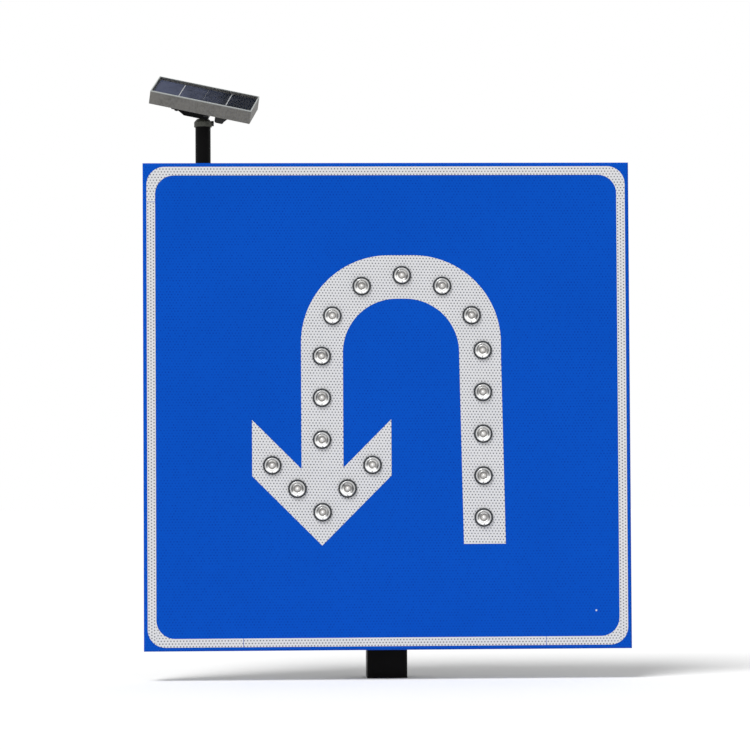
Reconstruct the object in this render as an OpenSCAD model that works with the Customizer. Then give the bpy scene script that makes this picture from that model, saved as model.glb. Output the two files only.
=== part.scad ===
// Solar powered LED U-turn sign: a folded aluminium tray with reflective sheeting and
// 18 screwed-in lights, clamped to a square post, with a small solar panel on a mast.
// +Z is up, the face looks towards -Y, and the origin is the middle of the post's lower end.

/* [Sign tray] */
// Width and height of the sign face
sign_w = 600; // [560:1:700]
// Thickness of the tray's aluminium sheet
tray_t = 1.5; // [1:0.1:2]
// Depth of the tray from its face to its back flange
tray_depth = 28; // [26:1:60]
// Inside radius of the folded edges
bend_r = 1; // [0.5:0.1:3]
// Width of the flange folded inwards at the back
flange_w = 14; // [12:1:20]
// Gap between two flanges at a mitred corner
mitre_gap = 1.2; // [0.5:0.1:3]

/* [Sheeting] */
// Thickness of one layer of reflective sheeting
film_t = 0.3; // [0.2:0.05:0.5]
// How far the blue sheeting wraps down the sides of the tray
wrap_w = 9; // [5:1:20]
// Distance from the sign's edge to the white border
border_margin = 4.8; // [3:0.1:15]
// Width of the white border
border_w = 10.6; // [6:0.1:20]
// Outer corner radius of the white border
border_r = 22; // [12:1:40]
// Inner corner radius of the white border
border_inner_r = 23; // [8:1:40]
// Gap where two strips of border sheeting meet
seam_gap = 0.6; // [0.3:0.1:1.5]
// Height of the seam in the left border above the middle
seam_left_z = 252; // [-200:1:255]
// Sideways places of the two seams in the lower border
seam_low_x = [-178, 194];

/* [Arrow] */
// Sideways place of the arch's middle
arch_x = 17.2; // [0:0.1:30]
// Height at which the arch springs from its legs
arch_y = 61; // [40:0.5:62]
// Half the width over the arch
arch_half_w = 123.2; // [115:0.1:125]
// Height of the arch's top
arch_top = 185.4; // [183.5:0.1:200]
// Half the straight stretch along the top of the arch
arch_outer_flat = 15.2; // [12:0.1:30]
// Half the straight stretch under the crown of the arch
arch_inner_flat = 5.2; // [4:0.1:20]
// Width of each leg
leg_w = 51.5; // [49.5:0.1:54]
// Thickness of the arch at its crown
crown_t = 53.5; // [49:0.1:55]
// Height of the right leg's foot
leg_foot_y = -170.4; // [-190:0.1:-156]
// Lean of the right leg, as the sheeting was laid
leg_lean = 1.1; // [0:0.1:1.5]
// Sideways place of the arrowhead's tip
head_x = -81; // [-84:0.1:-78]
// Height of the arrowhead's tip
head_tip_y = -171.4; // [-180:0.1:-165]
// Half the width of the arrowhead
head_half_w = 85.6; // [84:0.1:92]
// Height of the arrowhead's upright sides
barb_h = 69; // [62:0.5:74]

/* [Lights] */
// Distance between neighbouring lights on the legs
light_pitch = 51.5; // [46:0.1:53]
// Distance from the arch's outer edge to the arc of lights
light_in = 24; // [21.2:0.1:26.2]
// Middle of the arc of lights, sideways and in height
light_arc_mid = [18.6, 61.5];
// Lights on the arc
arc_lights = 5; // [3:1:5]
// Lights on the left leg
left_lights = 3; // [2:1:3]
// Lights on the right leg
right_lights = 5; // [3:1:5]
// Height of the right leg's first light above the middle of the arc
right_light_rise = 6.5; // [0:0.1:12]
// Lights on each side of the arrowhead, beside the one at its tip
head_lights = 2; // [1:1:2]
// Middle of the lowest light in the arrowhead
head_light_mid = [-80.4, -130.5];
// Sideways and upward step between lights in the arrowhead
head_light_step = [30.8, 28.9];
// Outer radius of the rubber seal ring
seal_r = 11.5; // [11:0.1:12.5]
// Height of the seal ring above the sheeting
seal_h = 2.5; // [2:0.1:4]
// Radius of the lens flange
lens_r = 9.4; // [9:0.1:10]
// Radius of the lens shank
shank_r = 7.5; // [7:0.1:8]
// Length of the lens shank behind the sheeting
shank_len = 18; // [16:0.5:20]
// Thickness of the lens walls round the light
lens_wall = 1.3; // [1:0.1:1.6]
// Width of the nut behind the tray, over its flats
light_nut_w = 22; // [19:0.5:24]
// Thickness of the nut behind the tray
light_nut_t = 5; // [3:0.5:7]
// Radius of the small light-emitting part
chip_r = 2.5; // [1.5:0.1:2.7]

/* [Back cover] */
// Thickness of the back cover
cover_t = 1.2; // [0.8:0.1:2]
// How far the cover stays inside the tray's edge
cover_margin = 5; // [3:0.5:7]
// Corner radius of the cover
cover_r = 6; // [3:1:12]
// Screws along each side of the cover
screws_a_side = 4; // [3:1:6]
// Distance from the tray's edge to the cover's screws
screw_margin = 9.5; // [9:0.5:10]
// Radius of the cover's screws
screw_r = 1.9; // [1.4:0.1:2.2]
// Length of the cover's screws
screw_len = 8; // [6:1:12]

/* [Rails] */
// Gap between the end of a rail and the mast's clip
rail_gap = 14.3; // [5:0.1:30]
// Height of the rails above and below the middle of the sign
rail_z = 150; // [120:1:200]
// Height over the rail's flanges
rail_base_h = 64; // [58:1:80]
// Height of the rail's channel
rail_h = 34; // [30:1:38]
// Depth of the rail
rail_depth = 14; // [12:0.5:20]
// Wall thickness of the rail
rail_t = 2.5; // [2:0.1:3.2]
// Width of the slot for bolt heads
slot_w = 11; // [9:0.5:14]
// Rivets along each flange of a rail
rivets = 4; // [2:1:7]
// Radius of the rivets
rivet_r = 2.4; // [1.6:0.1:2.6]

/* [Post] */
// Width of the square post
post_w = 50; // [40:1:60]
// Wall thickness of the post
post_t = 2.5; // [1.5:0.1:4]
// Outside corner radius of the post
post_r = 5; // [4.2:0.1:8]
// Length of post that shows below the sign
post_stub = 37; // [20:1:400]
// Distance from the post's top up to the sign's top edge
post_top_gap = 65; // [40:1:100]
// Thickness of the plastic cap's top
cap_t = 4; // [2:0.5:8]
// Depth of the cap's skirt inside the post
cap_skirt = 14; // [8:1:30]

/* [Post clamps] */
// Thickness of the clamp strap
clamp_t = 4; // [3:0.5:6]
// Height of the clamp strap
clamp_h = 40; // [24:1:60]
// Length of each ear of the clamp
ear_len = 34; // [26:1:45]
// Gap between the ears and the rail, for tightening
ear_gap = 4; // [2:0.5:6]
// Inside radius of the clamp's folds
clamp_bend_r = 3; // [2:0.5:4]
// Radius of the clamp bolts
bolt_r = 4; // [3:0.5:4.5]
// Thickness of the bolt heads inside the rail
bolt_head_t = 4; // [3:0.5:5]
// Width of the clamp nuts over their flats
nut_w = 13; // [11:0.5:15]
// Thickness of the clamp nuts
nut_t = 6.5; // [4:0.5:8]
// Thickness of the washers
washer_t = 1.6; // [1:0.1:2.5]

/* [Control box] */
// Distance from the sign's left edge to the control box's middle
box_in = 85; // [80:1:95]
// Width of the control box
box_w = 130; // [128:1:140]
// Height of the control box
box_h = 90; // [86:1:110]
// Depth of the control box without its lid
box_depth = 32; // [30:1:50]
// Wall thickness of the control box
box_t = 2.5; // [2:0.1:3.5]
// Outer corner radius of the control box
box_r = 6; // [4:0.5:10]
// Thickness of the lid's rim
lid_t = 7; // [5:0.5:12]
// Thickness of the sealing gasket
gasket_t = 1.2; // [0.8:0.1:2]
// Radius of a battery cell
cell_r = 9; // [8:0.1:9.1]
// Length of a battery cell
cell_len = 65; // [55:1:66]
// Number of battery cells
cells = 3; // [1:1:3]
// Radius of the hole for the wires into the tray
wire_hole_r = 7; // [6:0.5:9]
// Distance from the box's inner end to the hole for the wires
wire_hole_in = 20; // [16:1:24]

/* [Mast] */
// Distance from the sign's left edge to the mast's middle
mast_in = 74; // [65:1:80]
// Outer diameter of the mast
mast_d = 19; // [18:0.5:20]
// Wall thickness of the mast
mast_t = 1.5; // [1:0.1:1.6]
// Height of the mast's top above the sign's top edge
mast_above = 51; // [30:0.5:120]
// Gap between the mast's foot and the control box
mast_gap = 45; // [30:1:60]
// Distances of the two clips below the sign's top edge
clip_drops = [30, 150];
// Height of a mast clip
clip_h = 18; // [12:1:30]
// Thickness of a mast clip
clip_t = 1.6; // [1:0.1:2.5]

/* [Swivel] */
// Thickness of the socket's wall round the ball
cup_t = 0.7; // [0.5:0.1:1.2]
// Thickness of the socket's collar outside the mast
collar_t = 1.5; // [1.2:0.1:3]
// Depth of the collar's skirt over the mast
skirt_depth = 2.5; // [2:0.1:12]
// Length of the socket's spigot inside the mast
spigot_len = 26; // [16:1:60]
// How far the socket's mouth closes in over the ball
ball_hold = 1.3; // [0.9:0.1:1.6]
// Radius of the stem between ball and bracket
stem_r = 2.6; // [2:0.1:2.7]
// Radius of the clamping screw's head
grip_r = 3.4; // [2.5:0.1:3.6]
// Lean of the panel from level
panel_lean = 30.5; // [0:0.5:32]
// Turn of the lean's axis, seen from above
lean_turn = 15; // [-180:1:180]
// Turn of the panel about its own stem
panel_spin = -25; // [-180:1:180]

/* [Solar panel] */
// Length of the solar panel
panel_len = 128; // [120:1:160]
// Width of the solar panel
panel_w = 51; // [50:1:60]
// Sideways places of the panel's middle from its stem
panel_shift = [-2.5, 2];
// Depth of the panel's frame
frame_depth = 17.4; // [16.5:0.1:24]
// Wall thickness of the frame
frame_t = 1.5; // [1:0.1:2]
// Width of the lip over the glass
lip_w = 3; // [2:0.1:5]
// Width of the frame's lower lip
foot_lip_w = 8; // [8:0.5:9]
// Thickness of the glass
glass_t = 2.5; // [2:0.1:3.2]
// Thickness of the cells
cell_t = 0.4; // [0.3:0.05:0.8]
// Thickness of the backsheet
backsheet_t = 0.6; // [0.4:0.1:1]
// Lengths of the cells along the panel
cell_lengths = [34, 27, 27.5, 27];
// Gaps between the cells
cell_gaps = [2, 0.7, 2];
// Margin between the cells and the frame's lip
cell_margin = 0.8; // [0.1:0.1:1]
// Distance from the ball's middle to the bracket's underside
bracket_rise = 12.5; // [11:0.1:14]
// Depth of the bracket under the panel
bracket_depth = 9.5; // [9:0.1:16]
// Width of the bracket's body across the panel
bracket_w = 32; // [28:0.5:33]
// Length of the bracket's body from the stem to its lower end
bracket_arm = 22.4; // [16:0.1:26]
// Length of the bracket's body from the stem to its upper end
bracket_reach = 38; // [34:0.1:50]
// Wall thickness of the bracket
bracket_t = 2.2; // [1.6:0.1:3]
// Gap between the bracket and the junction box
notch_w = 8.2; // [6:0.1:10]
// Length of the junction box's floor
jbox_len = 11.3; // [10:0.1:14]
// Length by which the junction box's end slopes out
jbox_slope = 8; // [6:0.1:12]

/* [Hidden] */
$fn = 48;
// clearance round a screw or shank in its hole
fit = 0.1;
// clearance of the swivel's running faces
running = 0.05;
// how far a cutting shape passes its surface
cut = 1;
// how far the legs of the arrow run up into its arch
leg_lap = 2;
// clearance of a bolt, lens or lid screw in its hole
hole_gap = 0.3;

tray_w = sign_w - 2 * film_t;
sign_z = post_stub + sign_w / 2;
post_len = post_stub + sign_w - post_top_gap;

// planes from the post forwards to the face
rail_y = -post_w / 2;
cover_y = rail_y - rail_depth;
tray_back_y = cover_y - cover_t;
tray_front_y = tray_back_y - tray_depth;
blue_y = tray_front_y - film_t;
white_y = blue_y - film_t;

// lights, in order along the arrow from the left barb to the right foot
light_arc_r = arch_half_w - light_in;
head_spots = [for (i = [-head_lights:head_lights])
    head_light_mid + [i * head_light_step[0], abs(i) * head_light_step[1]]];
left_spots = [for (i = [left_lights - 1:-1:0])
    light_arc_mid + [-light_arc_r, -i * light_pitch]];
arc_spots = [for (i = [1:arc_lights])
    let (a = 180 - i * 180 / (arc_lights + 1))
    light_arc_mid + light_arc_r * [cos(a), sin(a)]];
right_spots = [for (i = [0:right_lights - 1])
    light_arc_mid + [light_arc_r, right_light_rise - i * light_pitch]];
light_spots = concat(head_spots, left_spots, arc_spots, right_spots);

cap_skirt_t = 2.5;

// lens and seal
seal_lip = 0.8;
seal_gap = 0.1;
lens_top = 2.3;
lens_outer_ring = [8.1, 1.15];
lens_inner_ring = [5.5, 1.2];
lens_dot_r = 2;
board_t = 1.6;
board_recess = 2;
board_r = shank_r - lens_wall;
light_hole_r = shank_r + hole_gap;
chip_len = 9;
chip_hole_r = chip_r + 1;
chip_hole_top = 3;

// screws
head_r = 2 * screw_r;
head_h = 1.25 * screw_r;
cover_screw_line = tray_w / 2 - screw_margin;
cover_screw_step = 2 * cover_screw_line / (screws_a_side + 1);
cover_screw_spots = [for (turn = [0:90:270], i = [1:screws_a_side])
    let (t = i * cover_screw_step - cover_screw_line)
    [cover_screw_line * cos(turn) - t * sin(turn), cover_screw_line * sin(turn) + t * cos(turn)]];

// rivets through the rails' flanges
rivet_head_r = 2 * rivet_r;
rivet_head_h = 0.65 * rivet_r;
rivet_bulb_r = 1.5 * rivet_r;
rivet_bulb_h = 1.2;
rivet_end = 20;
// clamp bolts
ear_front_y = rail_y + ear_gap;
ear_back_y = ear_front_y + clamp_t;
bolt_x = post_w / 2 + clamp_t + ear_len / 2;
bolt_head_y = rail_y - rail_t;
bolt_spots = [for (side = [-1, 1], rail = [-1, 1]) [side * bolt_x, rail * rail_z]];
bolt_tail = 3;
bolt_head_reach = 6;
bolt_head_len = slot_w + 2 * bolt_head_reach;
bolt_neck = slot_w - 2 * hole_gap;
bolt_hole_gap = 0.4;
bolt_hole_r = bolt_r + bolt_hole_gap;
washer_r = 2.1 * bolt_r;

// mast and its clips
mast_x = mast_in - sign_w / 2;
mast_r = mast_d / 2;
mast_y = cover_y + mast_r + fit;
mast_top = sign_w / 2 + mast_above;
mast_foot = box_h / 2 + mast_gap;
clip_heights = [for (drop = clip_drops) sign_w / 2 - drop];
clip_rim = 4;
clip_ear = 2 * (head_r + clip_rim);
clip_screw_x = mast_r + clip_t + clip_ear / 2;

// rails, their ends kept clear of the mast's clips
rail_len = -2 * (mast_x + clip_screw_x + clip_ear / 2 + rail_gap);
rivet_line = (rail_base_h + rail_h) / 4;
rivet_step = (rail_len - 2 * rivet_end) / (rivets - 1);
rivet_spots = [for (rail = [-1, 1], side = [-1, 1], i = [0:rivets - 1])
    [rivet_end - rail_len / 2 + i * rivet_step, rail * rail_z + side * rivet_line]];

// control box
box_x = box_in - sign_w / 2;
rim_y = cover_y + box_depth;
lid_y = rim_y + gasket_t;
foot_rim = 2.2;
foot_w = 2 * (head_r + foot_rim);
foot_t = 4;
foot_lap = 1;
foot_x = box_w / 2 - foot_w / 2 - box_r;
foot_z = box_h / 2 + foot_w / 2;
boss_r = 4;
boss_lap = 0.6;
boss_in = box_t + boss_r - boss_lap;
lid_screw_r = 1.4;
lid_screw_hole_r = lid_screw_r + hole_gap;
lid_screw_grip = 6;
lid_recess = 2.2;
lid_recess_gap = 0.4;
lid_hollow = 3;
gasket_inset = 0.5;
cell_gap = 1;
cell_pitch = 2 * cell_r + cell_gap;
cell_end_gap = 2;
cell_end_x = box_x - box_w / 2 + box_t + cell_end_gap;
cradle_t = 2.5;
cradle_h = cell_r;
cradle_in = 8;
cell_tip_h = 1;
cell_lift = 1;
cell_y = cover_y + box_t + cell_lift + cell_r;
pcb_w = 38;
pcb_h = 66;
pcb_gap = 8;
pcb_x = box_x + box_w / 2 - box_t - pcb_gap - pcb_w / 2;
pcb_rise = 8;
pcb_post_r = 3;
pcb_post_in = 4;
converter = [14, 5, 14];
converter_at = [6, 14];
terminals = [30, 9, 8];
terminals_at = [4, 2];
capacitor_side = 8;
capacitor_drop = 14;
big_capacitor = [5, 11];
small_capacitor = [3.5, 8];
gland_r = 6;
gland_bore_r = 3.2;
gland_nut_w = 16;
gland_h = 20;
gland_shank = 6;
gland_base_t = 4;
gland_step = 0.6;
box_wire_x = box_x + box_w / 2 - wire_hole_in;
grommet_lip = 2;
grommet_t = 1.2;

fixing_spots = concat(
    [for (side = [-1, 1], z = clip_heights) [mast_x + side * clip_screw_x, z, clip_t]],
    [for (sx = [-1, 1], sz = [-1, 1]) [box_x + sx * foot_x, sz * foot_z, foot_t]]);

// swivel
seat_z = -2;
ball_z = mast_top - seat_z;
collar_r = mast_r + collar_t;
collar_top_z = 1.4;
spigot_r = mast_r - mast_t - running;
spigot_t = 2.2;
ball_r = spigot_r - cup_t - running;
mouth_r = ball_r - ball_hold;
mouth_z = sqrt(ball_r * ball_r - mouth_r * mouth_r);
rim_h = 1.4;
rim_z = mouth_z + rim_h;
rim_t = 0.5;
rim_slope = 1;
rim_r = mouth_r + rim_slope + rim_t;
rim_bevel = 1.8;
grip_gap = 0.3;
grip_t = 2.2;
grip_seat = collar_r + grip_gap;
grip_boss_lap = 1;
grip_boss_x = collar_r - grip_boss_lap;
grip_notches = 6;
grip_notch_r = 0.9;
grip_shank_r = 1.5;
flare_rise = 1.7;
flare_z = ball_r + flare_rise;
flare_low_r = 5.8;
flare_r = 8;
stud_r = 2.9;

// solar panel, heights above the ball along the stem
panel_z = bracket_rise + bracket_depth;
panel_top_z = panel_z + frame_depth;
lip_t = 1.2;
ledge_t = 1.2;
glass_z = panel_top_z - lip_t - glass_t;
cells_z = glass_z - cell_t;
backsheet_z = cells_z - backsheet_t;
bracket_flange_t = 1.8;
bracket_flange_w = panel_w - 2 * frame_t;
bracket_floor_t = 2.5;
bracket_end = flare_r;
bracket_screw_r = 1.5;
bracket_screw_len = 6;
bracket_head_r = 2.6;
bracket_head_h = 1.7;
bracket_screw_in = 4.5;
bracket_screw_ends = [6, 3];
bracket_screw_y = panel_w / 2 - bracket_screw_in;
bracket_screw_spots = [
    for (x = [bracket_screw_ends[0] - bracket_reach, bracket_end - bracket_screw_ends[1]], side = [-1, 1])
    [x, panel_shift[1] + side * bracket_screw_y, 0]];
stud_len = 7.5;
stud_nut_w = 9;
stud_nut_t = 4;
jbox_x = bracket_end + notch_w;
jbox_drop = 2;
jbox_corner = 2.5;
jbox_gap = 2;
jbox_w = panel_w - 2 * (foot_lip_w + jbox_gap);
jgland_r = 3.4;
jgland_bore_r = 1.8;
jgland_nut_w = 9;
jgland_h = 11;
laminate_len = panel_len - 2 * frame_t - 2 * fit;
laminate_w = panel_w - 2 * frame_t - 2 * fit;

function two_digits(i) = i < 10 ? str("0", i) : str(i);
function first_sum(list, n) = n == 0 ? 0 : list[n - 1] + first_sum(list, n - 1);
function lens_name(i) = str("led_lens_", two_digits(i + 1));

// Places and shared shapes

// local z runs forwards out of the face, local y runs up
module on_face(y) {
    translate([0, y, sign_z]) rotate([90, 0, 0]) children();
}

// a flat sheet standing in the sign's plane, from y back to y + t
module upright_sheet(y, t) {
    on_face(y + t) linear_extrude(t) children();
}

// local z runs backwards, away from the face
module backwards(x, y, z) {
    translate([x, y, sign_z + z]) rotate([-90, 0, 0]) children();
}

module at_ball() {
    translate([mast_x, mast_y, sign_z + ball_z]) children();
}

// local z runs along the panel's stem, local x along the panel
module at_panel() {
    at_ball()
        rotate([0, 0, lean_turn])
        rotate([panel_lean, 0, 0])
        rotate([0, 0, panel_spin])
        children();
}

module rounded_rect(w, h, r) {
    square([w - 2 * r, h], center = true);
    square([w, h - 2 * r], center = true);
    for (sx = [-1, 1], sy = [-1, 1])
        translate([sx * (w / 2 - r), sy * (h / 2 - r)]) circle(r);
}

// bar with its two front edges folded round
module fold_bar(w, d, r) {
    translate([0, w / 2, 0]) rotate([90, 0, 0]) linear_extrude(w) union() {
        translate([-w / 2, 0]) square([w, d - r]);
        translate([r - w / 2, 0]) square([w - 2 * r, d]);
        for (side = [-1, 1])
            translate([side * (w / 2 - r), d - r]) circle(r);
    }
}

// block with all four front edges folded round
module folded_block(w, d, r) {
    intersection() {
        fold_bar(w, d, r);
        rotate([0, 0, 90]) fold_bar(w, d, r);
    }
}

module hexagon(width) {
    circle(r = width / 2 / cos(30), $fn = 6);
}

// pan-head screw with its seat at z = 0 and its shank along -z
module pan_screw(r, length, head, h) {
    rotate_extrude() union() {
        translate([0, -length]) square([r, length]);
        square([head, h / 2]);
        intersection() {
            translate([0, h / 2]) circle(head);
            square([head, h]);
        }
        translate([0, h / 2]) square([head - h / 2, h / 2]);
    }
}

// Sign tray and sheeting

module light_holes(depth) {
    for (spot = light_spots)
        translate(concat(spot, -depth)) cylinder(r = light_hole_r, h = 2 * depth);
}

module face_panel() {
    inside = tray_w - 2 * tray_t;
    opening = tray_w - 2 * flange_w;
    color("silver") on_face(tray_back_y) difference() {
        folded_block(tray_w, tray_depth, bend_r + tray_t);
        translate([0, 0, tray_t]) folded_block(inside, tray_depth - 2 * tray_t, bend_r);
        translate([-opening / 2, -opening / 2, -cut]) cube([opening, opening, tray_t + 2 * cut]);
        for (turn = [45:90:315])
            rotate([0, 0, turn])
                translate([opening / 2, -mitre_gap / 2, -cut])
                cube([inside / sqrt(2) - opening / 2, mitre_gap, tray_t + cut + fit]);
        translate([0, 0, tray_depth]) light_holes(3 * tray_t);
        for (spot = cover_screw_spots)
            translate(concat(spot, -cut)) cylinder(r = screw_r + fit, h = tray_t + 2 * cut);
    }
}

module blue_sheeting() {
    color("royalblue") on_face(tray_back_y) difference() {
        translate([0, 0, tray_depth - wrap_w])
            folded_block(sign_w, wrap_w + film_t, bend_r + tray_t + film_t);
        folded_block(tray_w, tray_depth, bend_r + tray_t);
        translate([0, 0, tray_depth]) light_holes(tray_t);
    }
}

module border_sheeting() {
    outer = sign_w - 2 * border_margin;
    inner = outer - 2 * border_w;
    middle = outer / 2 - border_w / 2;
    color("whitesmoke") on_face(blue_y) linear_extrude(film_t) difference() {
        rounded_rect(outer, outer, border_r);
        rounded_rect(inner, inner, border_inner_r);
        translate([-middle, seam_left_z]) square([2 * border_w, seam_gap], center = true);
        for (x = seam_low_x)
            translate([x, -middle]) square([seam_gap, 2 * border_w], center = true);
    }
}

// upper half of the arch
module arch_outline() {
    inner_w = arch_half_w - leg_w;
    translate([arch_x, arch_y]) difference() {
        translate([0, arch_top - arch_y - arch_half_w])
            rounded_rect(2 * arch_half_w, 2 * arch_half_w, arch_half_w - arch_outer_flat);
        translate([0, arch_top - crown_t - arch_y - inner_w])
            rounded_rect(2 * inner_w, 2 * inner_w, inner_w - arch_inner_flat);
        translate([-inner_w, -2 * arch_half_w]) square([2 * inner_w, 2 * arch_half_w + leg_lap]);
        translate([-2 * arch_half_w, -4 * arch_half_w]) square(4 * arch_half_w);
    }
}

module arrowhead_outline() {
    barb_y = head_tip_y + head_half_w;
    notch_y = barb_y + barb_h - (head_half_w - leg_w / 2);
    translate([head_x, 0]) polygon([
        [0, head_tip_y],
        [head_half_w, barb_y],
        [head_half_w, barb_y + barb_h],
        [leg_w / 2, notch_y],
        [-leg_w / 2, notch_y],
        [-head_half_w, barb_y + barb_h],
        [-head_half_w, barb_y]]);
}

module legs_outline() {
    left = arch_x - arch_half_w;
    right = arch_x + arch_half_w;
    head_mid_y = head_tip_y + head_half_w;
    shift = (arch_y - leg_foot_y) * tan(leg_lean);
    translate([left, head_mid_y]) square([leg_w, arch_y + leg_lap - head_mid_y]);
    polygon([
        [right - leg_w, arch_y],
        [right - leg_w + shift, leg_foot_y],
        [right + shift, leg_foot_y],
        [right, arch_y],
        [right, arch_y + leg_lap],
        [right - leg_w, arch_y + leg_lap]]);
}

module arrow_sheeting() {
    color("whitesmoke") on_face(blue_y) difference() {
        linear_extrude(film_t) union() {
            arch_outline();
            legs_outline();
            arrowhead_outline();
        }
        light_holes(2 * film_t);
    }
}

// Lights

module at_light(spot) {
    on_face(white_y) translate(spot) children();
}

// turned section of the lens: shank, flange, two raised rings and a bright centre
module lens_section() {
    base = seal_lip;
    difference() {
        union() {
            translate([0, -shank_len]) square([shank_r, shank_len + base]);
            translate([0, base]) square([lens_r, lens_top - base]);
            translate([lens_outer_ring[0], lens_top]) circle(lens_outer_ring[1]);
            translate([lens_inner_ring[0], lens_top]) circle(lens_inner_ring[1]);
            intersection() {
                translate([0, lens_top]) circle(lens_dot_r);
                square([lens_dot_r, lens_top + lens_dot_r]);
            }
        }
        translate([0, -shank_len - cut]) square([chip_hole_r, shank_len + cut - chip_hole_top]);
        translate([0, -shank_len - cut]) square([board_r + fit, cut + board_recess]);
        intersection() {
            translate([0, -chip_hole_top]) circle(chip_hole_r);
            translate([0, -chip_hole_top]) square(chip_hole_r);
        }
    }
}

module led_lens(i) {
    color([0.86, 0.9, 0.93]) at_light(light_spots[i]) rotate_extrude() lens_section();
}

module led_seals() {
    width = seal_r - lens_r - seal_gap;
    color([0.12, 0.12, 0.13]) for (spot = light_spots) at_light(spot) rotate_extrude() union() {
        translate([shank_r + seal_gap, 0]) square([seal_r - shank_r - seal_gap, seal_lip]);
        translate([seal_r - width, 0]) square([width, seal_h - width / 2]);
        translate([seal_r - width / 2, seal_h - width / 2]) circle(width / 2);
    }
}

module led_emitters() {
    board_z = board_recess - board_t - shank_len;
    for (spot = light_spots) at_light(spot) translate([0, 0, board_z]) {
        color("seagreen") cylinder(r = board_r, h = board_t);
        color("white") translate([0, 0, board_t]) cylinder(r = chip_r, h = chip_len);
        color("white") translate([0, 0, board_t + chip_len]) sphere(chip_r);
    }
}

module led_nuts() {
    nut_back_z = -(2 * film_t + tray_t + light_nut_t);
    color("dimgray") for (spot = light_spots) at_light(spot) translate([0, 0, nut_back_z])
        difference() {
            linear_extrude(light_nut_t) hexagon(light_nut_w);
            translate([0, 0, -cut]) cylinder(r = shank_r + fit, h = light_nut_t + 2 * cut);
        }
}

// Back cover, rails and their fixings

module back_cover() {
    size = tray_w - 2 * cover_margin;
    color("lightgray") difference() {
        upright_sheet(cover_y - cover_t, cover_t) rounded_rect(size, size, cover_r);
        for (spot = cover_screw_spots)
            backwards(spot[0], cover_y - cover_t - cut, spot[1])
                cylinder(r = screw_r + fit, h = cover_t + 2 * cut);
        for (spot = rivet_spots)
            backwards(spot[0], cover_y - cover_t - cut, spot[1])
                cylinder(r = rivet_r + fit, h = cover_t + 2 * cut);
        for (spot = fixing_spots)
            backwards(spot[0], cover_y - cover_t - cut, spot[1])
                cylinder(r = screw_r + fit, h = cover_t + 2 * cut);
        backwards(box_wire_x, cover_y - cover_t - cut, 0)
            cylinder(r = wire_hole_r, h = cover_t + 2 * cut);
    }
}

module cover_screws() {
    color("gainsboro") for (spot = cover_screw_spots)
        backwards(spot[0], cover_y, spot[1]) pan_screw(screw_r, screw_len, head_r, head_h);
}

module rail(height) {
    lift = sign_z + height;
    base_y = cover_y;
    color("darkgray") difference() {
        translate([-rail_len / 2, 0, lift]) rotate([90, 0, 90]) linear_extrude(rail_len)
            difference() {
                union() {
                    translate([base_y, -rail_base_h / 2]) square([rail_t, rail_base_h]);
                    translate([base_y, -rail_h / 2]) square([rail_depth, rail_h]);
                }
                translate([base_y + rail_t, rail_t - rail_h / 2])
                    square([rail_depth - 2 * rail_t, rail_h - 2 * rail_t]);
                translate([base_y + rail_t, -slot_w / 2]) square([rail_depth, slot_w]);
            }
        for (spot = rivet_spots)
            backwards(spot[0], base_y - cut, spot[1])
                cylinder(r = rivet_r + fit, h = rail_t + 2 * cut);
    }
}

module rail_rivets() {
    grip = rail_t + cover_t;
    dome_r = (rivet_head_r * rivet_head_r + rivet_head_h * rivet_head_h) / (2 * rivet_head_h);
    color("gainsboro") for (spot = rivet_spots)
        backwards(spot[0], cover_y + rail_t, spot[1]) rotate_extrude() union() {
            translate([0, -grip]) square([rivet_r, grip]);
            translate([0, -grip - rivet_bulb_h]) square([rivet_bulb_r, rivet_bulb_h]);
            intersection() {
                translate([0, rivet_head_h - dome_r]) circle(dome_r);
                square([rivet_head_r, rivet_head_h]);
            }
        }
}

// Post, cap and clamps

module post() {
    color([0.08, 0.08, 0.09]) linear_extrude(post_len) difference() {
        rounded_rect(post_w, post_w, post_r);
        rounded_rect(post_w - 2 * post_t, post_w - 2 * post_t, post_r - post_t);
    }
}

module post_cap() {
    bore = post_w - 2 * post_t;
    plug = bore - 2 * fit;
    color([0.1, 0.1, 0.1]) translate([0, 0, post_len]) {
        linear_extrude(cap_t) rounded_rect(post_w, post_w, post_r);
        translate([0, 0, -cap_skirt]) linear_extrude(cap_skirt) difference() {
            rounded_rect(plug, plug, post_r - post_t);
            square(plug - 2 * cap_skirt_t, center = true);
        }
    }
}

// half of the strap's section: leg, ear and the two folds between them
module strap_half() {
    half = post_w / 2;
    out = half + clamp_t;
    fold = clamp_bend_r + clamp_t;
    difference() {
        union() {
            translate([0, half]) square([half - clamp_bend_r, clamp_t]);
            translate([half, ear_front_y + fold]) square([clamp_t, half - clamp_bend_r - ear_front_y - fold]);
            translate([half + fold, ear_front_y]) square([ear_len + clamp_t - fold, clamp_t]);
            intersection() {
                translate([half - clamp_bend_r, half - clamp_bend_r]) circle(fold);
                translate([half - clamp_bend_r, half - clamp_bend_r]) square(fold);
            }
            intersection() {
                translate([half + fold, ear_front_y + fold]) circle(fold);
                translate([half, ear_front_y]) square(fold);
            }
        }
        translate([half - clamp_bend_r, half - clamp_bend_r]) circle(clamp_bend_r);
        translate([out + clamp_bend_r, ear_back_y + clamp_bend_r]) circle(clamp_bend_r);
    }
}

module clamp_strap(height) {
    color([0.62, 0.63, 0.64]) translate([0, 0, sign_z + height - clamp_h / 2]) difference() {
        linear_extrude(clamp_h) union() {
            strap_half();
            mirror([1, 0]) strap_half();
        }
        for (side = [-1, 1])
            translate([side * bolt_x, ear_front_y - cut, clamp_h / 2])
                rotate([-90, 0, 0]) cylinder(r = bolt_hole_r, h = clamp_t + 2 * cut);
    }
}

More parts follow.
